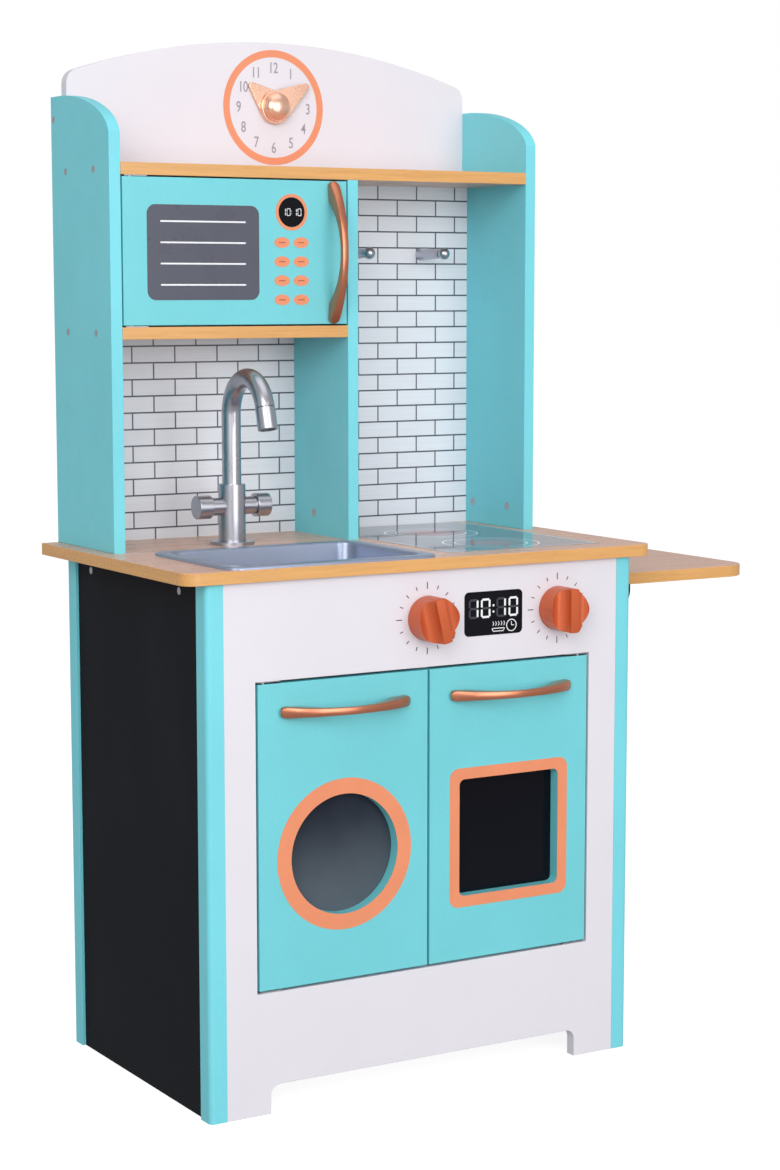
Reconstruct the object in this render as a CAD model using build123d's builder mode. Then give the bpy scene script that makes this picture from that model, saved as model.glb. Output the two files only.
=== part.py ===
"""Toy kitchen: a painted fibreboard cabinet with a sink, hob, washer and oven, and a hutch above.

Frame: millimetres, +X to the right of a child at the worktop, +Y back towards the wall, +Z up.
The origin is on the floor, in the middle of the cabinet's back face.
"""

from build123d import *
from math import cos, radians, sin
import os

os.makedirs("parts", exist_ok=True)

# Boards
BOARD = 12.0
BACK_BOARD = 5.0
TILE_BOARD = 4.0
EASE = 0.6

# Base cabinet
BASE_HALF = 240.5
BASE_DEPTH = 309.0
FRONT = -BASE_DEPTH
PANEL_BACK = FRONT + BOARD
POST_WIDTH = 18.0
FRONT_POST_DEPTH = 20.0
REAR_POST_DEPTH = 17.0
POST_NOSE = 5.0
SIDE_INSET = 3.5
SIDE_OUT = BASE_HALF - SIDE_INSET
SIDE_IN = SIDE_OUT - BOARD
POST_IN = BASE_HALF - POST_WIDTH
FLOOR_TOP = 118.5
TOE_HALF = 175.6
TOE_HEIGHT = 28.0
TOE_CORNER = 10.0
CLEAT = (12.0, 24.0)
CLEAT_END = 4.0
LONG_EDGE = 90.0

# Worktop
WORKTOP_HALF = 264.0
WORKTOP_TOP = 523.0
WORKTOP_LIP = 6.5
WORKTOP_CORNER = 15.0
WALL = 12.0
UNDER = WORKTOP_TOP - BOARD

# Hutch
HUTCH_HALF = 246.0
HUTCH_IN = HUTCH_HALF - BOARD
HUTCH_FRONT = -124.5
HUTCH_TOP = 968.5
HUTCH_ROUND = (110.0, 40.0)
TOP_SHELF = 900.0
MICROWAVE_SHELF = 742.3
DIVIDER = (17.4, 29.4)
TILE_FRONT = -10.0
CROWN_SIDE = 994.0
CROWN_PEAK = 1032.5
CROWN_CORNER = 12.0
CROWN_RISE = 3.0

# Cabinet doors and their pivots
OPENING_HALF = 189.6
OPENING_TOP = 416.7
DOOR_GAP = 2.5
DOOR_PIVOT_IN = 8.0
DOOR_PIVOT_DEEP = 6.0
HINGE_PLATE = 1.2
WINDOW_X = 94.0
WINDOW_Z = 243.5
WINDOW_HALF = 58.5
WINDOW_CORNER = 6.0
PANE = 2.0
PANE_LAP = 6.0

# Microwave door and its pivot
MICROWAVE_GAP = 1.5
MICROWAVE_PIVOT_IN = 10.0
MICROWAVE_PIVOT_DEEP = 5.0
MICROWAVE_PLATE = 0.8

# Pivot pins
PIN = 2.0
PIN_LENGTH = 11.0
RUNNING = 0.06
HINGE_LENGTH = 24.0
HINGE_WIDTH = 7.0
HINGE_LAP = 7.0

# Bow handles
HANDLE_HALF = 71.0
HANDLE_OUT = 28.0
HANDLE_FOOT = 20.0
HANDLE_WAIST = 9.0
HANDLE_WIDE = 13.0
HANDLE_BAR = 8.0
HANDLE_TOE = (2.0, 4.0)
HANDLE_NOSE = 5.0
HANDLE_ROUND = 2.4
HANDLE_Z = 386.5
MICROWAVE_HANDLE_X = -1.0

# Control knobs
KNOB_X = {"left": -2.0, "right": 150.0}
KNOB_Z = 464.4
KNOB_R = 22.0
KNOB_BODY = 19.0
KNOB_TALL = 31.0
KNOB_GRIP = 8.0
KNOB_DISH = 4.5
KNOB_OFF = 0.4
KNOB_EASE = 0.8
KNOB_INSIDE = 8.0
KNOB_POINTER = 2.0
KNOB_SLOPE = 4.0
KNOB_BROW = 9.0
KNOB_HUB = 5.0
KNOB_TURN = {"left": 13.0, "right": 0.0}

# Clock
CLOCK_Z = 966.5
HAND_THICK = 3.0
HAND_HUB = 17.0
HAND_TIP = 4.0
HAND_GAP = 0.4
HOUR_LENGTH = 37.5
HOUR_ANGLE = 51.0
MINUTE_LENGTH = 45.5
MINUTE_ANGLE = -58.0
CLOCK_PIN = 3.0
CLOCK_HEAD = 2.0
CAP_R = 15.0
CAP_DOME = 7.5
CAP_RIM = 2.0
CAP_SEAT = 3.0
CAP_SHOULDER = (0.76, 0.62)
HAND_EASE = 0.8

# Sink
SINK_X = (-219.0, 10.0)
SINK_Y = (-315.0, -147.0)
SINK_RIM = 11.0
SINK_RIM_TALL = 3.0
SINK_DEEP = 46.0
SINK_WALL = 2.0
SINK_CORNER = 16.0
SINK_DRAFT = 5.0
SINK_EASE = 1.8
SINK_CLEAR = 0.5

# Mixer tap
TAP = (-103.5, -98.2)
TAP_R = 13.8
TAP_TOP = 584.0
TAP_FLANGE = (22.3, 3.5)
TAP_STEM = 8.0
TAP_NUT = (14.0, 7.0)
SPOUT_R = 9.65
SPOUT_WALL = 2.0
SPOUT_BEND = 36.6
SPOUT_ARC = 165.0
SPOUT_BEND_Z = 654.8
SPOUT_SOCKET = 20.0
AERATOR_LONG = 23.0
AERATOR_SPIGOT = 3.0
TURN_Z = 561.8
TURN_NECK = (9.0, 25.0)
TURN_CAP = (11.9, 15.0)
TURN_SPINDLE = 4.0
TURN_SOCKET = 11.0
TURN_GAP = 0.4
TURN_PLUG = 5.0
TAP_STEM_END = 4.0
TAP_EASE = 0.7
AERATOR_GAP = 0.8
AERATOR_MOUTH = 6.0

# Side shelf
SHELF_END = 437.0
SHELF_Y = (-259.0, -50.0)
SHELF_TOP = 487.0
SHELF_CORNER = 30.0
BRACKET_END = 350.0
BRACKET_BOTTOM = 431.0
BRACKET_CORNER = 24.0

# Utensil hooks
HOOK_X = (81.5, 174.0)
HOOK_Z = 816.0
HOOK_LONG = 48.0
HOOK_BALL = 6.3
HOOK_FLANGE = (6.4, 3.0)
HOOK_NECK = (6.1, 14.0)
HOOK_SWELL = (4.7, 7.0)
HOOK_NUT = 3.2

# Fasteners
SCREW_HEAD = 3.6
SCREW_SHANK = 1.7
SCREW_CONE = 2.6
SCREW_CLEAR = 0.05
CAM_R = 4.3
CAM_DEEP = 9.0
CAM_UP = 23.0
CAM_BOLT = (2.5, 33.0)

CLEAT_SCREW = 22.0
BOARD_SCREW = 40.0
SHELF_SCREW = 45.0
PARTITION_SCREW = 30.0
CLEAT_SCREW_Y = (-48.0, -247.0)
CROWN_SCREW_Z = 946.0
TOP_SHELF_SCREW_Y = (-22.0, -88.0)
LEFT_SHELF_SCREW_Y = (-22.0, -89.0)
DIVIDER_SCREW_Y = (-35.0, -100.0)
SIDE_SHELF_SCREW_Y = (-225.0, -84.0)
BRACKET_SCREW_Z = 450.0
PARTITION_SCREW_Z = (170.0, 420.0)
HUTCH_CAM_Y = (-24.0, -92.0)
DIVIDER_CAM_Y = -51.5

SINKING = (Align.CENTER, Align.CENTER, Align.MAX)


def save(piece, name):
    """Label a finished piece and write its STEP file."""
    piece.part.label = name
    export_step(piece.part, f"parts/{name}.step")


def block(x, y, z, mode=Mode.ADD):
    """A box between low and high values on each axis, in the part being built."""
    with Locations((sum(x) / 2, sum(y) / 2, sum(z) / 2)):
        Box(x[1] - x[0], y[1] - y[0], z[1] - z[0], mode=mode)


def rod(at, out, radius, length, mode=Mode.ADD):
    """A cylinder whose end face is at a point and whose body goes in, against the outward direction."""
    with Locations(Plane(origin=at, z_dir=out)):
        Cylinder(radius, length, align=SINKING, mode=mode)


def screw(at, out, length, grow=0.0, mode=Mode.ADD):
    """A countersunk screw with its flat head level with the surface that it enters."""
    rod(at, out, SCREW_SHANK + grow, length + grow, mode)
    with Locations(Plane(origin=at, z_dir=out)):
        Cone(SCREW_SHANK + grow, SCREW_HEAD + grow, SCREW_CONE, align=SINKING, mode=mode)


def screw_holes(spots):
    """Cut every screw of a list out of the part being built."""
    for at, out, length in spots:
        screw(at, out, length, SCREW_CLEAR, Mode.SUBTRACT)


def cam(at, out, grow=0.0, mode=Mode.ADD):
    """A cam lock let into a board's face, with its bolt going down into the board below."""
    rod(at, out, CAM_R + grow, CAM_DEEP + grow, mode)
    middle = (at[0] - out[0] * BOARD / 2, at[1], at[2])
    rod(middle, (0, 0, 1), CAM_BOLT[0] + grow, CAM_BOLT[1] + grow, mode)


def cam_holes(spots):
    """Cut every cam lock of a list out of the part being built."""
    for at, out in spots:
        cam(at, out, SCREW_CLEAR, Mode.SUBTRACT)


def long_edges(piece, length):
    """The edges of a part that are longer than a length."""
    return piece.edges().filter_by(lambda edge: edge.length > length)


def rounded_plate(plane, center, width, height, corner, amount, mode=Mode.ADD, taper=0.0):
    """A plate with rounded corners, extruded from a plane."""
    with BuildSketch(plane) as outline:
        with Locations(center):
            RectangleRounded(width, height, corner)
    extrude(outline.sketch, amount=amount, mode=mode, taper=taper)


# Fastener places, shared by the screws, the cam locks and the boards that they hold
CLEAT_SCREWS = [
    ((side * SIDE_OUT, y, UNDER - CLEAT[1] / 2), (side, 0, 0), CLEAT_SCREW)
    for side in (-1, 1)
    for y in CLEAT_SCREW_Y
]
CROWN_SCREWS = [
    ((side * HUTCH_HALF, WALL - BOARD / 2, CROWN_SCREW_Z), (side, 0, 0), BOARD_SCREW)
    for side in (-1, 1)
]
TOP_SHELF_SCREWS = [
    ((side * HUTCH_HALF, y, TOP_SHELF - BOARD / 2), (side, 0, 0), BOARD_SCREW)
    for side in (-1, 1)
    for y in TOP_SHELF_SCREW_Y
]
LEFT_SHELF_SCREWS = [
    ((-HUTCH_HALF, y, MICROWAVE_SHELF - BOARD / 2), (-1, 0, 0), BOARD_SCREW)
    for y in LEFT_SHELF_SCREW_Y
]
DIVIDER_SCREWS = [
    ((DIVIDER[1], y, MICROWAVE_SHELF - BOARD / 2), (1, 0, 0), BOARD_SCREW)
    for y in DIVIDER_SCREW_Y
]
SIDE_SHELF_SCREWS = [
    ((SIDE_IN, y, SHELF_TOP - BOARD / 2), (-1, 0, 0), SHELF_SCREW) for y in SIDE_SHELF_SCREW_Y
]
BRACKET_SCREWS = [((SIDE_IN, sum(SHELF_Y) / 2, BRACKET_SCREW_Z), (-1, 0, 0), SHELF_SCREW)]
PARTITION_SCREWS = [((0, 0, z), (0, 1, 0), PARTITION_SCREW) for z in PARTITION_SCREW_Z]
PANEL_SCREWS = (
    CLEAT_SCREWS
    + CROWN_SCREWS
    + TOP_SHELF_SCREWS
    + LEFT_SHELF_SCREWS
    + DIVIDER_SCREWS
    + SIDE_SHELF_SCREWS
    + BRACKET_SCREWS
    + PARTITION_SCREWS
)
HUTCH_CAMS = {
    side: [((side * HUTCH_IN, y, WORKTOP_TOP + CAM_UP), (-side, 0, 0)) for y in HUTCH_CAM_Y]
    for side in (-1, 1)
}
DIVIDER_CAMS = [((DIVIDER[0], DIVIDER_CAM_Y, WORKTOP_TOP + CAM_UP), (-1, 0, 0))]


# Base cabinet ------------------------------------------------------------------------------

with BuildPart() as front_panel:
    block((-POST_IN, POST_IN), (FRONT, PANEL_BACK), (0, UNDER))
    block((-OPENING_HALF, OPENING_HALF), (FRONT, PANEL_BACK), (FLOOR_TOP, OPENING_TOP), Mode.SUBTRACT)
    rounded_plate(
        Plane.XZ.offset(-PANEL_BACK),
        (0, 0),
        2 * TOE_HALF,
        2 * TOE_HEIGHT,
        TOE_CORNER,
        BOARD,
        Mode.SUBTRACT,
    )
    for x in KNOB_X.values():
        rod((x, PANEL_BACK, KNOB_Z), (0, 1, 0), KNOB_HUB + RUNNING, BOARD, Mode.SUBTRACT)
    fillet(long_edges(front_panel, LONG_EDGE).filter_by(lambda e: e.center().Y < FRONT + 1), EASE)
save(front_panel, "front_panel")

for side, hand in ((-1, "left"), (1, "right")):
    with BuildPart() as front_post:
        block(
            sorted((side * POST_IN, side * BASE_HALF)),
            (FRONT, FRONT + FRONT_POST_DEPTH),
            (0, UNDER),
        )
        uprights = front_post.edges().filter_by(Axis.Z)
        nose = uprights.sort_by(lambda e: e.center().Y - side * e.center().X)[0]
        fillet(nose, POST_NOSE)
    save(front_post, f"front_{hand}_post")

    with BuildPart() as rear_post:
        block(sorted((side * POST_IN, side * BASE_HALF)), (-REAR_POST_DEPTH, 0), (0, UNDER))
        fillet(rear_post.edges().filter_by(Axis.Z), EASE)
    save(rear_post, f"rear_{hand}_post")

    with BuildPart() as side_panel:
        block(
            sorted((side * SIDE_IN, side * SIDE_OUT)),
            (FRONT + FRONT_POST_DEPTH, -REAR_POST_DEPTH),
            (0, UNDER),
        )
        screw_holes(PANEL_SCREWS)
    save(side_panel, f"{hand}_side_panel")

with BuildPart() as floor_panel:
    block((-SIDE_IN, SIDE_IN), (PANEL_BACK, -BACK_BOARD), (FLOOR_TOP - BOARD, FLOOR_TOP))
    for side in (-1, 1):
        for y in (
            (PANEL_BACK - 1, FRONT + FRONT_POST_DEPTH),
            (-REAR_POST_DEPTH, -BACK_BOARD + 1),
        ):
            corner = sorted((side * POST_IN, side * (SIDE_IN + 1)))
            block(corner, y, (FLOOR_TOP - BOARD, FLOOR_TOP), Mode.SUBTRACT)
save(floor_panel, "floor_panel")

with BuildPart() as cabinet_back_panel:
    block((-POST_IN, POST_IN), (-BACK_BOARD, 0), (0, UNDER))
    screw_holes(PARTITION_SCREWS)
save(cabinet_back_panel, "cabinet_back_panel")

PARTITION_TOP = KNOB_Z - KNOB_R - 2.0
PARTITION_STEP = 0.6
with BuildPart() as centre_partition:
    block((-BOARD / 2, BOARD / 2), (PANEL_BACK, -BACK_BOARD), (FLOOR_TOP, PARTITION_TOP))
    block(
        (-BOARD / 2, BOARD / 2),
        (PANEL_BACK, PANEL_BACK + PARTITION_STEP),
        (FLOOR_TOP, OPENING_TOP + PARTITION_STEP),
        Mode.SUBTRACT,
    )
    screw_holes(PARTITION_SCREWS)
save(centre_partition, "centre_partition")

with BuildPart() as worktop_cleats:
    for side in (-1, 1):
        block(
            sorted((side * SIDE_IN, side * (SIDE_IN - CLEAT[0]))),
            (FRONT + FRONT_POST_DEPTH + CLEAT_END, -REAR_POST_DEPTH - CLEAT_END),
            (UNDER - CLEAT[1], UNDER),
        )
    screw_holes(CLEAT_SCREWS)
save(worktop_cleats, "worktop_cleats")

SINK_MIDDLE = (sum(SINK_X) / 2, sum(SINK_Y) / 2)
SINK_SIZE = (SINK_X[1] - SINK_X[0], SINK_Y[1] - SINK_Y[0])
BOWL_FRONT = PANEL_BACK + 1.0
BOWL_X = (SINK_X[0] + SINK_RIM, SINK_X[1] - SINK_RIM)
BOWL_Y = (BOWL_FRONT, SINK_Y[1] - SINK_RIM)
BOWL_MIDDLE = (sum(BOWL_X) / 2, sum(BOWL_Y) / 2)
BOWL_SIZE = (BOWL_X[1] - BOWL_X[0], BOWL_Y[1] - BOWL_Y[0])

with BuildPart() as worktop:
    with BuildSketch(Plane.XY.offset(UNDER)):
        with BuildLine():
            Polyline(
                (-WORKTOP_HALF, WALL),
                (-WORKTOP_HALF, FRONT - WORKTOP_LIP),
                (WORKTOP_HALF, FRONT - WORKTOP_LIP),
                (WORKTOP_HALF, WALL),
                close=True,
            )
        corners = make_face().vertices().group_by(Axis.Y)[0]
        fillet(corners, WORKTOP_CORNER)
    extrude(amount=BOARD)
    top_edges = worktop.faces().sort_by(Axis.Z)[-1].edges()
    under_edges = worktop.faces().sort_by(Axis.Z)[0].edges()
    fillet(top_edges + under_edges, EASE)
    rounded_plate(
        Plane.XY.offset(UNDER),
        BOWL_MIDDLE,
        BOWL_SIZE[0] + 2 * SINK_CLEAR,
        BOWL_SIZE[1] + 2 * SINK_CLEAR,
        SINK_CORNER,
        BOARD,
        Mode.SUBTRACT,
    )
    rod((*TAP, WORKTOP_TOP), (0, 0, 1), TAP_STEM + SCREW_CLEAR, BOARD, Mode.SUBTRACT)
    cam_holes(HUTCH_CAMS[-1] + HUTCH_CAMS[1] + DIVIDER_CAMS)
save(worktop, "worktop")


# Side shelf --------------------------------------------------------------------------------

with BuildPart() as side_shelf:
    block((SIDE_OUT, SHELF_END), SHELF_Y, (SHELF_TOP - BOARD, SHELF_TOP))
    fillet(side_shelf.edges().filter_by(Axis.Z).group_by(Axis.X)[-1], SHELF_CORNER)
    fillet(side_shelf.faces().sort_by(Axis.Z)[-1].edges(), EASE)
    fillet(side_shelf.faces().sort_by(Axis.Z)[0].edges(), EASE)
    screw_holes(SIDE_SHELF_SCREWS)
save(side_shelf, "side_shelf")

with BuildPart() as shelf_bracket:
    middle = sum(SHELF_Y) / 2
    block(
        (SIDE_OUT, BRACKET_END),
        (middle - BOARD / 2, middle + BOARD / 2),
        (BRACKET_BOTTOM, SHELF_TOP - BOARD),
    )
    under = shelf_bracket.edges().filter_by(Axis.Y).group_by(Axis.Z)[0].sort_by(Axis.X)[-1]
    fillet(under, BRACKET_CORNER)
    screw_holes(BRACKET_SCREWS)
save(shelf_bracket, "shelf_bracket")


# Hutch -------------------------------------------------------------------------------------

for side, hand in ((-1, "left"), (1, "right")):
    with BuildPart() as hutch_panel:
        with BuildSketch(Plane.YZ.offset(side * HUTCH_HALF if side < 0 else HUTCH_IN)):
            with BuildLine():
                shoulder = (HUTCH_FRONT, HUTCH_TOP - HUTCH_ROUND[1])
                crest = (HUTCH_FRONT + HUTCH_ROUND[0], HUTCH_TOP)
                Line((WALL, HUTCH_TOP), (WALL, WORKTOP_TOP))
                Line((WALL, WORKTOP_TOP), (HUTCH_FRONT, WORKTOP_TOP))
                Line((HUTCH_FRONT, WORKTOP_TOP), shoulder)
                Spline(shoulder, crest, tangents=[(0.35, 1), (1, 0.02)], tangent_scalars=(0.7, 1))
                Line(crest, (WALL, HUTCH_TOP))
            make_face()
        extrude(amount=BOARD)
        fillet(long_edges(hutch_panel, LONG_EDGE), EASE)
        screw_holes(CROWN_SCREWS + TOP_SHELF_SCREWS + LEFT_SHELF_SCREWS)
        cam_holes(HUTCH_CAMS[side])
    save(hutch_panel, f"hutch_{hand}_panel")

with BuildPart() as divider_panel:
    block(DIVIDER, (HUTCH_FRONT, TILE_FRONT), (WORKTOP_TOP, TOP_SHELF - BOARD))
    fillet(divider_panel.edges().filter_by(Axis.Z), EASE)
    screw_holes(DIVIDER_SCREWS)
    cam_holes(DIVIDER_CAMS)
save(divider_panel, "divider_panel")

with BuildPart() as microwave_shelf:
    block(
        (-HUTCH_IN, DIVIDER[0]),
        (HUTCH_FRONT, TILE_FRONT),
        (MICROWAVE_SHELF - BOARD, MICROWAVE_SHELF),
    )
    fillet(microwave_shelf.edges().filter_by(Axis.X), EASE)
    screw_holes(LEFT_SHELF_SCREWS + DIVIDER_SCREWS)
save(microwave_shelf, "microwave_shelf")

with BuildPart() as top_shelf:
    block((-HUTCH_IN, HUTCH_IN), (HUTCH_FRONT, WALL), (TOP_SHELF - BOARD, TOP_SHELF))
    fillet(top_shelf.edges().filter_by(Axis.X), EASE)
    screw_holes(TOP_SHELF_SCREWS)
save(top_shelf, "top_shelf")

HOOK_SCREW = (1.5, 14.0)
HOOK_HEAD = 2.0
with BuildPart() as tile_board:
    block(
        (-HUTCH_IN, HUTCH_IN),
        (TILE_FRONT, TILE_FRONT + TILE_BOARD),
        (WORKTOP_TOP, TOP_SHELF - BOARD),
    )
    for x in HOOK_X:
        at = (x, TILE_FRONT + TILE_BOARD, HOOK_Z)
        rod(at, (0, 1, 0), HOOK_SCREW[0] + SCREW_CLEAR, TILE_BOARD, Mode.SUBTRACT)
save(tile_board, "tile_board")

with BuildPart() as crown_board:
    with BuildSketch(Plane.XZ.offset(-WALL)):
        with BuildLine():
            side = CROWN_SIDE - CROWN_CORNER
            right = (HUTCH_IN - CROWN_CORNER, CROWN_SIDE + CROWN_RISE)
            left = (-right[0], right[1])
            Polyline((-HUTCH_IN, side), (-HUTCH_IN, TOP_SHELF), (HUTCH_IN, TOP_SHELF), (HUTCH_IN, side))
            TangentArc((HUTCH_IN, side), right, tangent=(0, 1))
            ThreePointArc(right, (0, CROWN_PEAK), left)
            TangentArc((-HUTCH_IN, side), left, tangent=(0, 1))
        make_face()
    extrude(amount=BOARD)
    screw_holes(CROWN_SCREWS)
    rod((0, WALL, CLOCK_Z), (0, 1, 0), CLOCK_PIN + SCREW_CLEAR, BOARD, Mode.SUBTRACT)
    rod((0, WALL, CLOCK_Z), (0, 1, 0), 2 * CLOCK_PIN + SCREW_CLEAR, CLOCK_HEAD, Mode.SUBTRACT)
save(crown_board, "crown_board")


# Doors -------------------------------------------------------------------------------------


def hinge_hardware(name, pivot, low, high, plate, toward):
    """Top and bottom pivot plates: one pair with pins for the frame, one pair let into the door.

    low and high are the frame's and the door's bottom and top levels, and toward points from the
    pivot along the door.
    """
    span = sorted((pivot[0] - toward * HINGE_LAP, pivot[0] + toward * (HINGE_LENGTH - HINGE_LAP)))
    width = (pivot[1] - HINGE_WIDTH / 2, pivot[1] + HINGE_WIDTH / 2)
    with BuildPart() as pins:
        for frame_level, up in ((low[0], 1), (high[0], -1)):
            block(span, width, sorted((frame_level, frame_level + up * plate)))
            rod((*pivot, frame_level + up * PIN_LENGTH), (0, 0, up), PIN, PIN_LENGTH)
    save(pins, f"{name}_hinge_pins")
    with BuildPart() as plates:
        for door_level, up in ((low[1], 1), (high[1], -1)):
            block(span, width, sorted((door_level, door_level + up * plate)))
            at = (*pivot, door_level + up * 2 * plate)
            rod(at, (0, 0, up), PIN + RUNNING, 3 * plate, Mode.SUBTRACT)
    save(plates, f"{name}_door_plates")


def hinge_pockets(pivot, low, high, plate, toward):
    """Cut the pin holes and the let-in plates out of a door."""
    span = sorted((pivot[0] - toward * HINGE_LAP, pivot[0] + toward * (HINGE_LENGTH - HINGE_LAP)))
    width = (pivot[1] - HINGE_WIDTH / 2, pivot[1] + HINGE_WIDTH / 2)
    for door_level, up in ((low, 1), (high, -1)):
        block(span, width, sorted((door_level, door_level + up * plate)), Mode.SUBTRACT)
        at = (*pivot, door_level + up * PIN_LENGTH)
        rod(at, (0, 0, up), PIN + RUNNING, PIN_LENGTH, Mode.SUBTRACT)


def bow_handle(plane):
    """A bow handle on a door's face: its length along the plane's X, standing out along its Z."""
    side_view = Plane(origin=plane.origin, x_dir=plane.x_dir, z_dir=-plane.y_dir)
    foot_in = HANDLE_HALF - HANDLE_FOOT
    toe = HANDLE_HALF - HANDLE_TOE[0]
    with BuildSketch(side_view.offset(-HANDLE_WIDE / 2)) as profile:
        with BuildLine():
            Line((-toe, 0), (-foot_in, 0))
            ThreePointArc((-foot_in, 0), (0, HANDLE_OUT - HANDLE_BAR), (foot_in, 0))
            Line((foot_in, 0), (toe, 0))
            Line((toe, 0), (HANDLE_HALF, HANDLE_TOE[1]))
            ThreePointArc((HANDLE_HALF, HANDLE_TOE[1]), (0, HANDLE_OUT), (-HANDLE_HALF, HANDLE_TOE[1]))
            Line((-HANDLE_HALF, HANDLE_TOE[1]), (-toe, 0))
        make_face()
    extrude(profile.sketch, amount=HANDLE_WIDE)
    with BuildSketch(plane) as plan:
        with BuildLine():
            wide = HANDLE_WIDE / 2
            waist = HANDLE_WAIST / 2
            near = HANDLE_HALF - HANDLE_NOSE
            ThreePointArc((-near, wide), (0, waist), (near, wide))
            ThreePointArc((near, wide), (HANDLE_HALF, 0), (near, -wide))
            ThreePointArc((near, -wide), (0, -waist), (-near, -wide))
            ThreePointArc((-near, -wide), (-HANDLE_HALF, 0), (-near, wide))
        make_face()
    extrude(plan.sketch, amount=HANDLE_OUT + HANDLE_NOSE, mode=Mode.INTERSECT)


HANDLE_SCREW = 2.0
HANDLE_SCREW_LONG = 20.0
HANDLE_SCREW_HEAD = (4.0, 2.2)
HANDLE_SCREW_X = 60.0


def handle_screws(plane, grow=0.0, mode=Mode.ADD, heads=True):
    """The two screws that hold a bow handle, from the door's back into the handle's feet."""
    for x in (-HANDLE_SCREW_X, HANDLE_SCREW_X):
        head_face = plane.origin + plane.x_dir * x - plane.z_dir * BOARD
        out = -plane.z_dir
        rod(head_face, out, HANDLE_SCREW + grow, HANDLE_SCREW_LONG - 1 + grow, mode)
        if heads:
            rod(head_face + out * HANDLE_SCREW_HEAD[1], out, *HANDLE_SCREW_HEAD, mode)


def fitted_handle(name, plane):
    """A door's bow handle and its two screws."""
    with BuildPart() as handle:
        bow_handle(plane)
        fillet(long_edges(handle, LONG_EDGE), HANDLE_ROUND)
        handle_screws(plane, SCREW_CLEAR, Mode.SUBTRACT, heads=False)
    save(handle, f"{name}_handle")
    with BuildPart() as screws:
        handle_screws(plane)
    save(screws, f"{name}_handle_screws")


STRIKE = (7.0, 8.0, 0.8)
CATCH = (12.0, 24.0, 16.0)
CATCH_OFF = 0.5
CATCH_Z = 330.0
MICROWAVE_CATCH_Z = 815.0


def strike(x, back, z, mode=Mode.ADD):
    """A steel strike plate let into a door's back face."""
    block((x - STRIKE[0], x + STRIKE[0]), (back - STRIKE[2], back), (z - STRIKE[1], z + STRIKE[1]), mode)


DOOR_LOW = FLOOR_TOP + DOOR_GAP
DOOR_HIGH = OPENING_TOP - DOOR_GAP
DOOR_OUTER = OPENING_HALF - DOOR_GAP
DOOR_INNER = DOOR_GAP / 2
PIVOT_X = DOOR_OUTER - DOOR_PIVOT_IN
PIVOT_Y = FRONT + DOOR_PIVOT_DEEP
DOOR_MIDDLE = (DOOR_OUTER + DOOR_INNER) / 2
CATCH_X = BOARD / 2 + CATCH[0] / 2

for side, name in ((-1, "washer"), (1, "oven")):
    pivot = (side * PIVOT_X, PIVOT_Y)
    handle_plane = Plane(
        origin=(side * DOOR_MIDDLE, FRONT, HANDLE_Z), x_dir=(1, 0, 0), z_dir=(0, -1, 0)
    )
    window = Plane(origin=(side * WINDOW_X, FRONT, WINDOW_Z), x_dir=(1, 0, 0), z_dir=(0, -1, 0))
    with BuildPart() as door:
        block(sorted((side * DOOR_INNER, side * DOOR_OUTER)), (FRONT, PANEL_BACK), (DOOR_LOW, DOOR_HIGH))
        fillet(door.edges(), EASE)
        with BuildSketch(window) as opening:
            if name == "washer":
                Circle(WINDOW_HALF)
            else:
                RectangleRounded(2 * WINDOW_HALF, 2 * WINDOW_HALF, WINDOW_CORNER)
        extrude(opening.sketch, amount=-BOARD, mode=Mode.SUBTRACT)
        hinge_pockets(pivot, DOOR_LOW, DOOR_HIGH, HINGE_PLATE, -side)
        handle_screws(handle_plane, SCREW_CLEAR, Mode.SUBTRACT, heads=False)
        strike(side * CATCH_X, PANEL_BACK, CATCH_Z, Mode.SUBTRACT)
    save(door, f"{name}_door")

    with BuildPart() as pane:
        lap = WINDOW_HALF + PANE_LAP
        with BuildSketch(window.offset(-BOARD - PANE)) as sheet:
            if name == "washer":
                Circle(lap)
            else:
                RectangleRounded(2 * lap, 2 * lap, WINDOW_CORNER)
        extrude(sheet.sketch, amount=PANE)
    save(pane, f"{name}_window")

    with BuildPart() as strike_plate:
        strike(side * CATCH_X, PANEL_BACK, CATCH_Z)
    save(strike_plate, f"{name}_strike_plate")

    fitted_handle(name, handle_plane)
    hinge_hardware(
        name, pivot, (FLOOR_TOP, DOOR_LOW), (OPENING_TOP, DOOR_HIGH), HINGE_PLATE, -side
    )

MICROWAVE_X = (-HUTCH_IN + MICROWAVE_GAP, DIVIDER[0] - MICROWAVE_GAP)
MICROWAVE_Z = (MICROWAVE_SHELF + MICROWAVE_GAP, TOP_SHELF - BOARD - MICROWAVE_GAP)
MICROWAVE_BACK = HUTCH_FRONT + BOARD
MICROWAVE_PIVOT = (MICROWAVE_X[0] + MICROWAVE_PIVOT_IN, HUTCH_FRONT + MICROWAVE_PIVOT_DEEP)
MICROWAVE_CATCH_X = DIVIDER[0] - CATCH[0] / 2
MICROWAVE_HANDLE = Plane(
    origin=(MICROWAVE_HANDLE_X, HUTCH_FRONT, sum(MICROWAVE_Z) / 2), x_dir=(0, 0, 1), z_dir=(0, -1, 0)
)

with BuildPart() as microwave_door:
    block(MICROWAVE_X, (HUTCH_FRONT, MICROWAVE_BACK), MICROWAVE_Z)
    fillet(microwave_door.edges(), EASE)
    hinge_pockets(MICROWAVE_PIVOT, *MICROWAVE_Z, MICROWAVE_PLATE, 1)
    handle_screws(MICROWAVE_HANDLE, SCREW_CLEAR, Mode.SUBTRACT, heads=False)
    strike(MICROWAVE_CATCH_X - 1, MICROWAVE_BACK, MICROWAVE_CATCH_Z, Mode.SUBTRACT)
save(microwave_door, "microwave_door")

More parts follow.
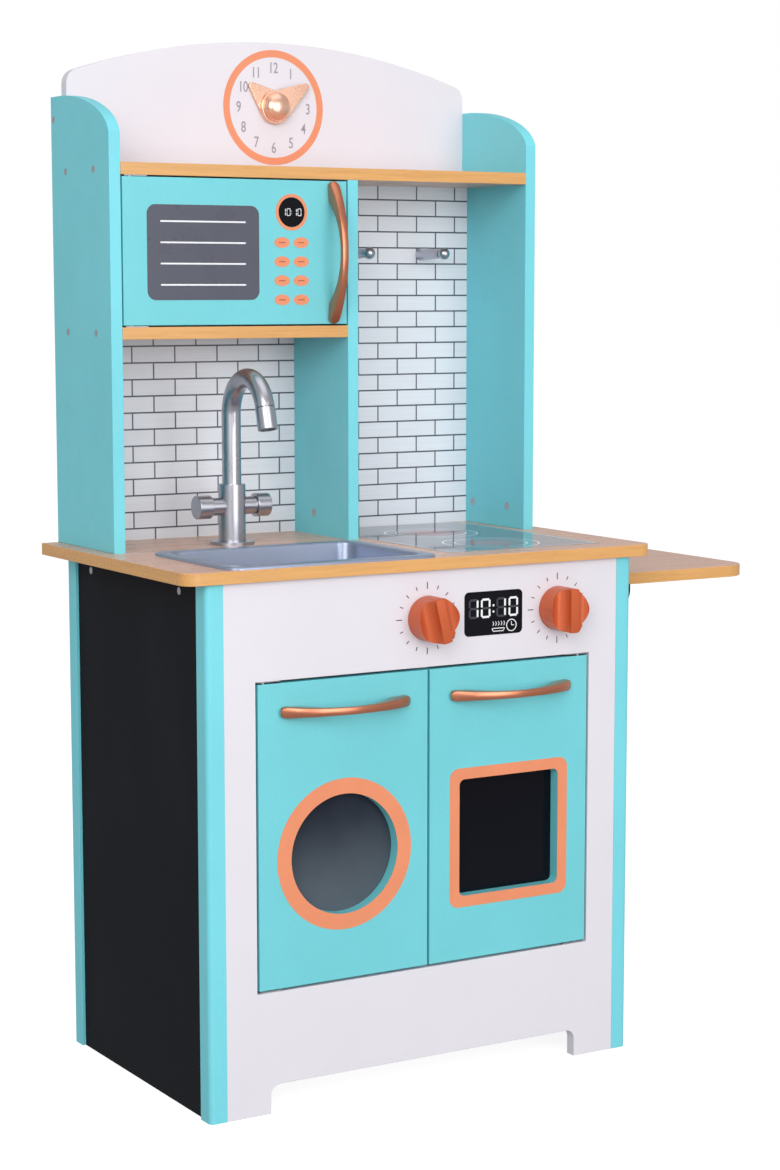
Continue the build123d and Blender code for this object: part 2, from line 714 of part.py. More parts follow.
with BuildPart() as microwave_strike_plate:
    strike(MICROWAVE_CATCH_X - 1, MICROWAVE_BACK, MICROWAVE_CATCH_Z)
save(microwave_strike_plate, "microwave_strike_plate")

fitted_handle("microwave", MICROWAVE_HANDLE)
hinge_hardware(
    "microwave",
    MICROWAVE_PIVOT,
    (MICROWAVE_SHELF, MICROWAVE_Z[0]),
    (TOP_SHELF - BOARD, MICROWAVE_Z[1]),
    MICROWAVE_PLATE,
    1,
)

with BuildPart() as magnet_catches:
    for x, back, z in (
        (-CATCH_X, PANEL_BACK, CATCH_Z),
        (CATCH_X, PANEL_BACK, CATCH_Z),
        (MICROWAVE_CATCH_X, MICROWAVE_BACK, MICROWAVE_CATCH_Z),
    ):
        block(
            (x - CATCH[0] / 2, x + CATCH[0] / 2),
            (back + CATCH_OFF, back + CATCH_OFF + CATCH[1]),
            (z - CATCH[2] / 2, z + CATCH[2] / 2),
        )
save(magnet_catches, "magnet_catches")


# Control knobs -----------------------------------------------------------------------------

KNOB_SCREW = (1.9, 14.0)
KNOB_WASHER = (9.0, 1.5)
KNOB_PLAY = 0.6
KNOB_SCREW_END = 2.0

for hand, x in KNOB_X.items():
    turn = radians(KNOB_TURN[hand])
    across = (cos(turn), 0, sin(turn))
    face = Plane(origin=(x, FRONT - KNOB_OFF, KNOB_Z), x_dir=across, z_dir=(0, -1, 0))
    hub_end = PANEL_BACK + KNOB_PLAY
    with BuildPart() as knob:
        with BuildSketch(face):
            Circle(KNOB_R)
        extrude(amount=KNOB_BODY)
        fillet(knob.edges().sort_by(Axis.Y)[0], KNOB_EASE)
        with Locations(face.offset(KNOB_BODY)):
            Cone(0.5, KNOB_R - 1, KNOB_DISH, align=SINKING, mode=Mode.SUBTRACT)
        side_view = Plane(origin=face.origin, x_dir=face.y_dir, z_dir=face.x_dir)
        top = KNOB_R - KNOB_POINTER
        with BuildSketch(side_view.offset(-KNOB_GRIP / 2)) as grip:
            with BuildLine():
                Polyline(
                    (top, KNOB_INSIDE),
                    (1 - KNOB_R, KNOB_INSIDE),
                    (-KNOB_R - KNOB_POINTER, KNOB_TALL - KNOB_SLOPE),
                    (1 - KNOB_R, KNOB_TALL),
                    (KNOB_R - KNOB_BROW, KNOB_TALL),
                    (top, KNOB_BODY - 1),
                    close=True,
                )
            make_face()
        extrude(grip.sketch, amount=KNOB_GRIP)
        rod((x, hub_end, KNOB_Z), (0, 1, 0), KNOB_HUB, hub_end - FRONT + KNOB_OFF)
        rod((x, hub_end, KNOB_Z), (0, 1, 0), KNOB_SCREW[0], KNOB_SCREW[1], Mode.SUBTRACT)
    save(knob, f"{hand}_knob")

    with BuildPart() as knob_screw:
        rod((x, hub_end + KNOB_WASHER[1], KNOB_Z), (0, 1, 0), *KNOB_WASHER)
        rod((x, hub_end, KNOB_Z), (0, 1, 0), KNOB_SCREW[0], KNOB_SCREW[1] - KNOB_SCREW_END)
    save(knob_screw, f"{hand}_knob_screw")


# Clock -------------------------------------------------------------------------------------


def clock_hand(name, length, angle, back):
    """A leaf-shaped hand lying between its hub circle and its rounded tip, in front of the crown."""
    dial = Plane(origin=(0, back, CLOCK_Z), x_dir=(1, 0, 0), z_dir=(0, -1, 0))
    reach = length - HAND_TIP
    tip = (-reach * sin(radians(angle)), reach * cos(radians(angle)))
    with BuildPart() as hand:
        with BuildSketch(dial):
            Circle(HAND_HUB)
            with Locations(tip):
                Circle(HAND_TIP)
            make_hull()
        extrude(amount=HAND_THICK)
        fillet(hand.faces().sort_by(Axis.Y)[0].edges(), HAND_EASE)
        rod((0, back, CLOCK_Z), (0, 1, 0), CLOCK_PIN + RUNNING, HAND_THICK, Mode.SUBTRACT)
    save(hand, name)


clock_hand("hour_hand", HOUR_LENGTH, HOUR_ANGLE, -HAND_GAP)
clock_hand("minute_hand", MINUTE_LENGTH, MINUTE_ANGLE, -2 * HAND_GAP - HAND_THICK)
CAP_BACK = -3 * HAND_GAP - 2 * HAND_THICK

with BuildPart() as clock_pin:
    rod((0, WALL, CLOCK_Z), (0, 1, 0), CLOCK_PIN, WALL - CAP_BACK + CAP_SEAT)
    rod((0, WALL, CLOCK_Z), (0, 1, 0), 2 * CLOCK_PIN, CLOCK_HEAD)
save(clock_pin, "clock_pin")

with BuildPart() as clock_cap:
    with BuildSketch(Plane.YZ):
        with BuildLine():
            rim = CAP_BACK - CAP_RIM
            Polyline((rim, CLOCK_Z + CAP_R), (CAP_BACK, CLOCK_Z + CAP_R), (CAP_BACK, CLOCK_Z))
            Line((CAP_BACK, CLOCK_Z), (rim - CAP_DOME, CLOCK_Z))
            ThreePointArc(
                (rim - CAP_DOME, CLOCK_Z),
                (rim - CAP_DOME * CAP_SHOULDER[0], CLOCK_Z + CAP_R * CAP_SHOULDER[1]),
                (rim, CLOCK_Z + CAP_R),
            )
        make_face()
    revolve(axis=Axis((0, 0, CLOCK_Z), (0, 1, 0)))
    rod((0, CAP_BACK, CLOCK_Z), (0, 1, 0), CLOCK_PIN, CAP_SEAT, Mode.SUBTRACT)
save(clock_cap, "clock_cap")


# Sink --------------------------------------------------------------------------------------

with BuildPart() as sink_basin:
    rim_plane = Plane.XY.offset(WORKTOP_TOP)
    rounded_plate(rim_plane, SINK_MIDDLE, *SINK_SIZE, SINK_CORNER, SINK_RIM_TALL)
    fillet(sink_basin.edges().group_by(Axis.Z)[-1], SINK_EASE)
    rounded_plate(rim_plane, BOWL_MIDDLE, *BOWL_SIZE, SINK_CORNER, -SINK_DEEP, taper=SINK_DRAFT)
    rounded_plate(
        Plane.XY.offset(WORKTOP_TOP + SINK_RIM_TALL),
        BOWL_MIDDLE,
        BOWL_SIZE[0] - 2 * SINK_WALL,
        BOWL_SIZE[1] - 2 * SINK_WALL,
        SINK_CORNER - SINK_WALL,
        -(SINK_DEEP + SINK_RIM_TALL - SINK_WALL),
        Mode.SUBTRACT,
        SINK_DRAFT,
    )
save(sink_basin, "sink_basin")


# Mixer tap ---------------------------------------------------------------------------------

with BuildPart() as tap_body:
    rod((*TAP, TAP_TOP), (0, 0, 1), TAP_R, TAP_TOP - WORKTOP_TOP)
    rod((*TAP, WORKTOP_TOP + TAP_FLANGE[1]), (0, 0, 1), *TAP_FLANGE)
    rod((*TAP, WORKTOP_TOP), (0, 0, 1), TAP_STEM, BOARD + TAP_NUT[1] + TAP_STEM_END)
    for side in (-1, 1):
        end = (TAP[0] + side * TURN_NECK[1], TAP[1], TURN_Z)
        rod(end, (side, 0, 0), *TURN_NECK)
    rod((*TAP, TAP_TOP), (0, 0, 1), SPOUT_R + RUNNING, SPOUT_SOCKET, Mode.SUBTRACT)
    for side in (-1, 1):
        end = (TAP[0] + side * TURN_NECK[1], TAP[1], TURN_Z)
        rod(end, (side, 0, 0), TURN_SPINDLE + RUNNING, TURN_SOCKET, Mode.SUBTRACT)
save(tap_body, "tap_body")

with BuildPart() as tap_nut:
    with BuildSketch(Plane.XY.offset(UNDER)):
        with Locations(TAP):
            RegularPolygon(TAP_NUT[0], 6)
            Circle(TAP_STEM + SCREW_CLEAR, mode=Mode.SUBTRACT)
    extrude(amount=-TAP_NUT[1])
save(tap_nut, "tap_nut")

SPOUT_FOOT = TAP_TOP - SPOUT_SOCKET + 0.5
end_angle = radians(SPOUT_ARC)
SPOUT_END = (
    TAP[0],
    TAP[1] - SPOUT_BEND * (1 - cos(end_angle)),
    SPOUT_BEND_Z + SPOUT_BEND * sin(end_angle),
)
SPOUT_AIM = (0, -sin(end_angle), cos(end_angle))
half_arc = radians(SPOUT_ARC / 2)
SPOUT_MID = (
    TAP[0],
    TAP[1] - SPOUT_BEND * (1 - cos(half_arc)),
    SPOUT_BEND_Z + SPOUT_BEND * sin(half_arc),
)
with BuildPart() as tap_spout:
    with BuildLine():
        Line((*TAP, SPOUT_FOOT), (*TAP, SPOUT_BEND_Z))
        ThreePointArc((*TAP, SPOUT_BEND_Z), SPOUT_MID, SPOUT_END)
    with BuildSketch(Plane.XY.offset(SPOUT_FOOT)):
        with Locations(TAP):
            Circle(SPOUT_R)
            Circle(SPOUT_R - SPOUT_WALL, mode=Mode.SUBTRACT)
    sweep()
save(tap_spout, "tap_spout")

AERATOR = Plane(origin=SPOUT_END, x_dir=(1, 0, 0), z_dir=SPOUT_AIM)
with BuildPart() as tap_aerator:
    with BuildSketch(AERATOR.offset(AERATOR_GAP)):
        Circle(SPOUT_R + 0.2)
    extrude(amount=AERATOR_LONG - AERATOR_GAP)
    fillet(tap_aerator.edges(), TAP_EASE)
    with BuildSketch(AERATOR.offset(AERATOR_LONG)) as mouth:
        Circle(SPOUT_R - SPOUT_WALL)
    extrude(mouth.sketch, amount=-AERATOR_MOUTH, mode=Mode.SUBTRACT)
    with BuildSketch(AERATOR.offset(-AERATOR_SPIGOT)) as spigot:
        Circle(SPOUT_R - SPOUT_WALL - 4 * SCREW_CLEAR)
    extrude(spigot.sketch, amount=AERATOR_SPIGOT + 1)
save(tap_aerator, "tap_aerator")

for side, hand in ((-1, "left"), (1, "right")):
    with BuildPart() as tap_turn:
        outer = TAP[0] + side * (TURN_NECK[1] + TURN_GAP + TURN_CAP[1])
        rod((outer, TAP[1], TURN_Z), (side, 0, 0), *TURN_CAP)
        fillet(tap_turn.edges().filter_by(GeomType.CIRCLE), TAP_EASE)
        spindle = TURN_CAP[1] - TURN_PLUG + TURN_SOCKET - 1
        rod((outer - side * TURN_PLUG, TAP[1], TURN_Z), (side, 0, 0), TURN_SPINDLE, spindle)
    save(tap_turn, f"tap_{hand}_turn")


# Utensil hooks and fasteners ---------------------------------------------------------------

with BuildPart() as utensil_hooks:
    ball_y = TILE_FRONT - HOOK_LONG
    screw_end = TILE_FRONT + TILE_BOARD + HOOK_HEAD
    for x in HOOK_X:
        with BuildSketch(Plane.YZ.offset(x)) as half:
            with BuildLine():
                Polyline(
                    (TILE_FRONT, HOOK_Z),
                    (TILE_FRONT, HOOK_Z + HOOK_FLANGE[0]),
                    (TILE_FRONT - HOOK_FLANGE[1], HOOK_Z + HOOK_FLANGE[0]),
                    (TILE_FRONT - HOOK_NECK[1], HOOK_Z + HOOK_NECK[0]),
                    (ball_y + HOOK_SWELL[1], HOOK_Z + HOOK_SWELL[0]),
                    (ball_y, HOOK_Z),
                    close=True,
                )
            make_face()
        revolve(half.sketch, axis=Axis((x, 0, HOOK_Z), (0, 1, 0)))
        with Locations((x, ball_y, HOOK_Z)):
            Sphere(HOOK_BALL)
        rod((x, screw_end, HOOK_Z), (0, 1, 0), *HOOK_SCREW)
        rod((x, screw_end, HOOK_Z), (0, 1, 0), HOOK_NUT, HOOK_HEAD)
save(utensil_hooks, "utensil_hooks")

with BuildPart() as panel_screws:
    for at, out, length in PANEL_SCREWS:
        screw(at, out, length)
save(panel_screws, "panel_screws")

with BuildPart() as cam_locks:
    for at, out in HUTCH_CAMS[-1] + HUTCH_CAMS[1] + DIVIDER_CAMS:
        cam(at, out)
save(cam_locks, "cam_locks")
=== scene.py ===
"""Toy kitchen: finishes, printed films and moulded fittings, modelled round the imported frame.

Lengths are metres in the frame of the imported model: +X to the right, +Y back to the wall, +Z up.
"""

import math

import bmesh
import bpy
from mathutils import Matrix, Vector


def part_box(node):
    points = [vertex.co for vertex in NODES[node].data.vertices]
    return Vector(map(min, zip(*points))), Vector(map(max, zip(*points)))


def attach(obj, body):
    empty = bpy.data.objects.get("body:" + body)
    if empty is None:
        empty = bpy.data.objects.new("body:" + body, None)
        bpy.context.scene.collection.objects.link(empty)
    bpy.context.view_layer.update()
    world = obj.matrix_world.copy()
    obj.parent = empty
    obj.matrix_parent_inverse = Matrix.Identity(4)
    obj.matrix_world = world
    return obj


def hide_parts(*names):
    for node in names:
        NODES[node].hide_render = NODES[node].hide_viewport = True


bl_info = {
    "name": "Toy Kitchen",
    "version": (1, 0, 0),
    "blender": (4, 5, 0),
    "location": "View3D > Sidebar > Toy Kitchen",
    "description": "Finishes, prints and moulded fittings for a wooden toy kitchen",
    "category": "Add Mesh",
}

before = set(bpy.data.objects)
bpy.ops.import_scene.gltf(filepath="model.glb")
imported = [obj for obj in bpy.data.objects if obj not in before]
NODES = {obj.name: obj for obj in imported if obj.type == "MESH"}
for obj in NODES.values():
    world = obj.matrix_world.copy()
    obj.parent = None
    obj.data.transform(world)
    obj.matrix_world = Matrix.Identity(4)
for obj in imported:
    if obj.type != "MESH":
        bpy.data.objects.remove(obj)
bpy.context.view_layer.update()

MM = 0.001
MERGE = 1e-6
FACING_FRONT = (math.pi / 2, 0, 0)
FACING_UP = (0, 0, 0)
FRONT_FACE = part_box("front_panel")[0].y
DOOR_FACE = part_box("washer_door")[0].y
MICROWAVE_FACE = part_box("microwave_door")[0].y
CROWN_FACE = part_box("crown_board")[0].y
WORKTOP_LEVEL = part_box("worktop")[1].z

WHITE = (1.0, 1.0, 1.0, 1.0)
SOFT = (0.3, 0.7)  # from and to which level soft noise is drawn out
PANE_REFLECTION_LEVELS = (0.185, 0.302)  # the heights between which a pane's painted reflection fades: paler towards the foot
# How many sides each round shape has.
FILM_SIDES, RING_SIDES, DOME_SIDES, KNOB_SIDES, SCOOP_SIDES, STRAINER_SIDES = 72, 128, 96, 112, 120, 64
NUMERAL_SPACING = 0.98
NUMERAL_NARROWING = 0.74
BUTTON_SQUASH = 0.61
TICKS = 16
CORNER_SHARE = 0.3  # of a printed strip's smaller side
WELD_GAP = 2e-5

# The cap's outline from its back to its top: shares of its radius and of its height.
DOME_PROFILE = (
    (1.0, 0.16), (0.985, 0.22), (0.962, 0.25), (0.95, 0.29), (0.92, 0.4),
    (0.84, 0.57), (0.7, 0.75), (0.5, 0.89), (0.25, 0.975), (0.05, 1.0),
)
# A knob's outline, in millimetres inward from its radius and under its top.
KNOB_CREST = ((0.0, 30.4), (0.0, 1.3), (0.25, 0.5), (0.7, 0.12), (1.3, 0.0))
# The basin's section before and after the flat of its rim, and at the foot of its wall,
# and the strainer's section: steps in millimetres inward and up.
SINK_ROLL = [(0.15, 0.65), (0.35, 0.5), (0.5, 0.35), (0.7, 0.2)]
SINK_EDGE = [(0.6, -0.12), (0.5, -0.35), (0.4, -0.7), (0.25, -2.0)]
LIP_ROUNDS, WALL_ROUNDS, WALL_DRAFT = 3.6, 8.0, 2.6
SINK_FOOT = [(0.5, -1.9), (1.2, -1.5), (1.6, -1.0), (2.0, -0.5)]
STRAINER_STEPS = ((0.5, 0.25), (2.2, 0.0), (0.6, -0.35), (3.0, -0.35), (4.5, 0.0), (1.4, 0.0))
# Small marks under the digits, as strips: middle x and z, length, width and lean.
ICON_STRIPS = [
    (0.0740 + n * 0.0032, z, 0.0026, 0.0007, lean)
    for n in range(5)
    for z, lean in ((0.4548, 0.5), (0.4527, -0.5))
] + [
    (0.0798, 0.4490, 0.0008, 0.0140, 0),
    (0.0798, 0.4462, 0.0008, 0.0118, 0),
    (0.0731, 0.4477, 0.0028, 0.0008, 0.5),
    (0.0865, 0.4477, 0.0028, 0.0008, -0.5),
    (0.0953, 0.4529, 0.0038, 0.0008, 0),
    (0.0968, 0.4511, 0.0008, 0.0032, 0),
]
# The sky's grey at shares of the way from straight down to straight up.
SKY = ((0.40, 0.42), (0.47, 0.55), (0.54, 0.62), (0.66, 0.46))
# The soft lights: name, place and side length, all aimed at one spot.
SOFTBOXES = (
    ("left", (-2.4, -3.0, 1.9), 2.2),
    ("front", (0.25, -3.7, 1.15), 2.2),
    ("top", (0.1, -0.7, 3.1), 2.4),
)
LIT_SPOT = (0.0, -0.15, 0.55)
FLOOR_RADIUS = 45
FLOOR_GREYS = ((0.36, 0.36, 0.36), (0.37, 0.37, 0.37))
FLOOR_GLOW = 0.86


def srgb(red, green, blue):
    """A colour given from 0 to 255 as it looks on a screen, as linear light."""
    return tuple(
        v / 12.92 if v <= 0.04045 else ((v + 0.055) / 1.055) ** 2.4
        for v in (red / 255, green / 255, blue / 255)
    )


# Shader building ---------------------------------------------------------------------------


def operation(name, turned=False):
    """An operator that adds a Math node, with its two values the other way round when turned."""

    def method(self, other):
        return self.nodes.math(name, *((other, self) if turned else (self, other)))

    return method


class Wire:
    """A shader socket. An expression on it adds Math nodes."""

    def __init__(self, nodes, socket):
        self.nodes = nodes
        self.socket = socket

    def __abs__(self):
        return self.nodes.math("ABSOLUTE", self)

    __add__, __radd__ = operation("ADD"), operation("ADD", turned=True)
    __sub__, __rsub__ = operation("SUBTRACT"), operation("SUBTRACT", turned=True)
    __mul__, __rmul__ = operation("MULTIPLY"), operation("MULTIPLY", turned=True)
    __truediv__ = operation("DIVIDE")
    __gt__ = operation("GREATER_THAN")
    __lt__ = operation("LESS_THAN")


class Nodes:
    """A shader tree that is written as Python expressions."""

    def __init__(self, tree):
        self.tree = tree
        tree.nodes.clear()

    def add(self, kind, settings=None, sockets=None):
        """One node: its settings, then the values or links of its sockets."""
        node = self.tree.nodes.new(kind)
        for key, value in (settings or {}).items():
            if key != "stops":
                setattr(node, key, value)
                continue
            for number, (position, colour) in enumerate(value):
                if number > 1:
                    node.color_ramp.elements.new(position)
                node.color_ramp.elements[number].position = position
                node.color_ramp.elements[number].color = colour
        for key, value in (sockets or {}).items():
            if isinstance(value, Wire):
                self.tree.links.new(value.socket, node.inputs[key])
            else:
                node.inputs[key].default_value = value
        return node

    def wire(self, kind, settings=None, sockets=None, output=0):
        """One output of a new node."""
        return Wire(self, self.add(kind, settings, sockets).outputs[output])

    def math(self, operation, *values):
        """A Math node on sockets and numbers."""
        return self.wire("ShaderNodeMath", {"operation": operation}, dict(enumerate(values)))

    def axes(self, vector):
        """The three parts of a vector."""
        node = self.add("ShaderNodeSeparateXYZ", sockets={0: vector})
        return [Wire(self, node.outputs[n]) for n in range(3)]

    def mix(self, first, second, share):
        """Two colours mixed by a share."""
        first, second = (c if isinstance(c, Wire) else (*c[:3], 1.0) for c in (first, second))
        sockets = {0: share, 6: first, 7: second}
        return self.wire("ShaderNodeMix", {"data_type": "RGBA"}, sockets, output=2)


class Finish(Nodes):
    """A material made out of nodes, on a glossy base shader."""

    def __init__(self, name):
        self.material = bpy.data.materials.new(name)
        self.material.use_nodes = True
        super().__init__(self.material.node_tree)
        self.place = self.wire("ShaderNodeTexCoord", output="Object")
        self.normal = self.wire("ShaderNodeTexCoord", output="Normal")

    def noise(self, scale, stretch=(1, 1, 1), detail=4.0, spread=None):
        """Soft noise about one half, optionally spread to fill low to high."""
        place = self.wire("ShaderNodeMapping", sockets={"Vector": self.place, "Scale": stretch})
        sockets = {"Vector": place, "Scale": scale, "Detail": detail, "Roughness": 0.55}
        value = self.wire("ShaderNodeTexNoise", sockets=sockets)
        return self.span(value, *spread) if spread else value

    def span(self, value, low, high, to_low=0.0, to_high=1.0):
        """A value between low and high, drawn out smoothly to a new range."""
        sockets = {"Value": value, 1: low, 2: high, 3: to_low, 4: to_high}
        return self.wire("ShaderNodeMapRange", {"interpolation_type": "SMOOTHSTEP"}, sockets)

    def bump(self, height, depth, strength):
        """A bump of a height between nought and one, that deep in metres."""
        sockets = {"Height": height, "Distance": depth, "Strength": strength}
        return self.wire("ShaderNodeBump", sockets=sockets)

    def surface(self, **sockets):
        """The base shader and the output. Underscores in a socket's name stand for spaces."""
        values = {key.replace("_", " "): value for key, value in sockets.items()}
        shader = self.wire("ShaderNodeBsdfPrincipled", sockets=values)
        self.add("ShaderNodeOutputMaterial", sockets={0: shader})
        return self.material


# Finishes ----------------------------------------------------------------------------------


def painted_board(name, colour, gloss=0.42, cloud=0.05):
    """Satin paint or foil on fibreboard: faint clouds, a fine tooth and uneven gloss."""
    finish = Finish(name)
    clouds = finish.noise(7, detail=3, spread=SOFT)
    speck = finish.noise(420, detail=2, spread=(0.35, 0.65))
    shade = [c * (1 - cloud) for c in colour]
    pale = [min(1, c * (1 + cloud * 0.6)) for c in colour]
    ground = finish.mix(shade, pale, clouds * 0.7 + speck * 0.3)
    orange_peel = finish.noise(900, detail=3)
    return finish.surface(
        Base_Color=ground,
        Roughness=finish.span(finish.noise(40), 0.3, 0.7, gloss - 0.05, gloss + 0.06),
        Specular_IOR_Level=0.45,
        Normal=finish.bump(orange_peel, 0.00006, 0.6),
    )


def chalk_paint(name, colour):
    """Matt blackboard paint with a roller's stipple and faint wiped chalk."""
    finish = Finish(name)
    wipe = finish.noise(9, stretch=(1, 1, 0.45), detail=5, spread=(0.45, 0.8))
    stipple = finish.noise(700, detail=2)
    dust = finish.mix(colour, [c * 1.9 + 0.004 for c in colour], wipe * 0.35)
    return finish.surface(
        Base_Color=dust,
        Roughness=finish.span(stipple, 0.3, 0.7, 0.68, 0.82),
        Specular_IOR_Level=0.16,
        Normal=finish.bump(stipple, 0.00008, 0.6),
    )


def beech_print(name, tint):
    """Lacquered beech print with its grain along the board and a plain warm band on its edges; the tops'
    pale pink is partly painted reflection.
    """
    finish = Finish(name)
    wood_and_painted_sheen, band = tint.beech, tint.band
    on_top = abs(finish.axes(finish.normal)[2]) > 0.7
    broad = finish.noise(9, stretch=(0.5, 7, 4), detail=3, spread=SOFT)
    fine = finish.noise(60, stretch=(0.25, 9, 4), detail=3, spread=(0.35, 0.65))
    dashes = finish.noise(55, stretch=(1.6, 16, 6), detail=1, spread=(0.62, 0.72))
    ground = finish.mix(wood_and_painted_sheen, [c * 0.84 for c in wood_and_painted_sheen], broad * 0.6 + fine * 0.4)
    ground = finish.mix(ground, tint.fleck, dashes * 0.45)
    edge_grain = finish.noise(30, stretch=(0.4, 0.4, 10), detail=2, spread=SOFT)
    edging = finish.mix(band, [c * 0.9 for c in band], edge_grain)
    return finish.surface(
        Base_Color=finish.mix(edging, ground, on_top),
        Roughness=finish.span(fine, 0, 1, 0.26, 0.36),
        Specular_IOR_Level=0.5,
        Normal=finish.bump(fine, 0.00003, 0.5),
    )


def tile_print(name, tint, sizes):
    """Printed brick tiles with dark joints on the front, and a plain back."""
    finish = Finish(name)
    tile, joint, start = tint.tile, sizes.joint, sizes.start
    front = finish.axes(finish.normal)[1] < -0.5
    x, _, z = finish.axes(finish.place)
    level = (z - start[1]) / sizes.row
    course = finish.math("FLOOR", level)
    shift = finish.math("FLOORED_MODULO", course, 2.0) * 0.5
    along = (x - start[0]) / sizes.brick + shift
    column = finish.math("FLOOR", along)
    from_joint_z = finish.math("PINGPONG", level, 0.5) * sizes.row
    from_joint_x = finish.math("PINGPONG", along, 0.5) * sizes.brick
    nearest = finish.math("MINIMUM", from_joint_x, from_joint_z)
    inside = finish.span(nearest, joint * 0.42, joint * 0.62)
    seed = finish.wire("ShaderNodeCombineXYZ", sockets={0: column, 1: course})
    each = finish.wire("ShaderNodeTexWhiteNoise", sockets={"Vector": seed}, output="Value")
    brushed = finish.noise(70, stretch=(0.12, 1, 16), detail=3, spread=SOFT)
    bright = finish.mix([c * 0.9 for c in tile], tile, brushed * 0.6 + each * 0.4)
    worn = finish.mix(bright, [c * 0.93 for c in tile], finish.noise(14, spread=(0.4, 0.65)) * 0.5)
    return finish.surface(
        Base_Color=finish.mix(tint.white, finish.mix(tint.grout, worn, inside), front),
        Roughness=finish.span(brushed, 0, 1, 0.3, 0.42),
        Specular_IOR_Level=0.5,
        Normal=finish.bump((inside * 0.8 + brushed * 0.2) * front, 0.0001, 0.5),
    )


def moulded_metal(name, colour, rough, metal=1.0):
    """Plated or metallic moulded plastic: fine flake, soft handling marks, satin gloss."""
    finish = Finish(name)
    flake = finish.noise(1500, detail=1, spread=SOFT)
    marks = finish.noise(30, detail=3, spread=(0.3, 0.75))
    tone = finish.mix([c * 0.94 for c in colour], colour, flake * 0.5 + marks * 0.5)
    return finish.surface(
        Base_Color=tone,
        Metallic=metal,
        Roughness=finish.span(marks * 0.7 + flake * 0.3, 0, 1, rough - 0.02, rough + 0.03),
        Normal=finish.bump(flake, 0.000002, 0.15),
    )


def smoked_pane(name, top, bottom):
    """Glossy smoked acrylic, with a painted reflection that makes it paler towards its foot."""
    finish = Finish(name)
    # painted reflection: the pane goes by height from its top colour to its paler foot colour
    shade = finish.span(finish.axes(finish.place)[2], *PANE_REFLECTION_LEVELS)
    swirl = finish.noise(18, detail=2, spread=SOFT)
    return finish.surface(
        Base_Color=finish.mix(bottom, top, shade * 0.9 + swirl * 0.1),
        Roughness=finish.span(swirl, 0, 1, 0.04, 0.09),
        Specular_IOR_Level=0.14,
    )


def print_ink(name, colour, rough=0.38, shine=0.45):
    """Screen-printed vinyl: a dense colour with the faint mesh of the print in it."""
    finish = Finish(name)
    mesh_mark = finish.noise(1100, detail=1, spread=SOFT)
    cover = finish.noise(25, detail=3, spread=SOFT)
    ink = finish.mix([c * 0.93 for c in colour], colour, mesh_mark * 0.4 + cover * 0.6)
    return finish.surface(
        Base_Color=ink,
        Roughness=finish.span(cover, 0, 1, rough - 0.04, rough + 0.05),
        Specular_IOR_Level=shine,
        Normal=finish.bump(mesh_mark, 0.00001, 0.3),
    )


def hob_print(name, sizes):
    """Glossy ceramic-look film with a white border line, and two rings on each burner."""
    finish = Finish(name)
    x, y, _ = finish.axes(finish.place)
    low, high = sizes.low, sizes.high
    side = finish.math(
        "MINIMUM",
        finish.math("MINIMUM", x - low[0], high[0] - x),
        finish.math("MINIMUM", y - low[1], high[1] - y),
    )
    line = sizes.line / 2
    mark = abs(side - sizes.margin) < line
    glow = side * 0
    for spot in (sizes.burner_near, sizes.burner_far):
        across, along = finish.math("POWER", x - spot[0], 2.0), finish.math("POWER", y - spot[1], 2.0)
        away = finish.math("SQRT", across + along)
        for radius in (sizes.burner_outer, sizes.burner_inner):
            mark = finish.math("MAXIMUM", mark, abs(away - radius) < line)
        inner = finish.span(away, sizes.burner_inner * 0.25, sizes.burner_inner, 1.0, 0.15)
        glow = finish.math("MAXIMUM", glow, inner * (away < sizes.burner_inner))
    cloud = finish.noise(16, detail=3, spread=SOFT)
    glass = finish.mix(sizes.film_colour, [c * 1.15 for c in sizes.film_colour], cloud)
    glass = finish.mix(glass, sizes.burner_colour, glow * 0.8)
    return finish.surface(
        Base_Color=finish.mix(glass, sizes.line_colour, mark),
        Roughness=finish.span(cloud, 0, 1, 0.05, 0.09),
        Specular_IOR_Level=0.4,
    )


# Modelling helpers -------------------------------------------------------------------------


def begin(kind, name, **settings):
    """Add a primitive with nothing else selected, and open it in edit mode, selected all over."""
    bpy.ops.object.select_all(action="DESELECT")
    getattr(bpy.ops.mesh, f"primitive_{kind}_add")(**settings)
    piece = bpy.context.active_object
    piece.name = piece.data.name = name
    bpy.ops.object.transform_apply(location=True, rotation=True, scale=True)
    bpy.ops.object.mode_set(mode="EDIT")
    bpy.ops.mesh.select_mode(type="FACE")
    bpy.ops.mesh.select_all(action="SELECT")
    return piece


def begin_disc(name, spot, radius, vertices, rotation=FACING_FRONT):
    """Begin with a filled circle."""
    shape = {"vertices": vertices, "radius": radius, "fill_type": "NGON"}
    return begin("circle", name, location=spot, rotation=rotation, **shape)


def begin_plane(name, spot, rotation=FACING_FRONT):
    """Begin with a plane of unit size."""
    return begin("plane", name, size=1, location=spot, rotation=rotation)


def pick(piece, test):
    """Select the faces of a piece in edit mode that pass a test of their middle and normal."""
    bpy.ops.mesh.select_mode(type="FACE")
    bpy.ops.mesh.select_all(action="DESELECT")
    shape = bmesh.from_edit_mesh(piece.data)
    for face in shape.faces:
        if test(face.calc_center_median(), face.normal):
            face.select_set(True)
    shape.select_flush_mode()
    bmesh.update_edit_mesh(piece.data)


def smooth(angle):
    """Smooth the active piece under an angle in degrees."""
    bpy.ops.object.shade_smooth_by_angle(angle=math.radians(angle))


def close(angle=None):
    """Merge doubles, turn the faces outwards, leave edit mode and smooth under an angle."""
    bpy.ops.mesh.select_mode(type="FACE")
    bpy.ops.mesh.select_all(action="SELECT")
    bpy.ops.mesh.remove_doubles(threshold=MERGE)
    bpy.ops.mesh.normals_make_consistent(inside=False)
    bpy.ops.object.mode_set(mode="OBJECT")
    if angle:
        smooth(angle)


def modify(piece, kind, **settings):
    """Add a modifier to the active piece and apply it."""
    modifier = piece.modifiers.new(kind.lower(), kind)
    for key, value in settings.items():
        setattr(modifier, key, value)
    bpy.ops.object.modifier_apply(modifier=modifier.name)


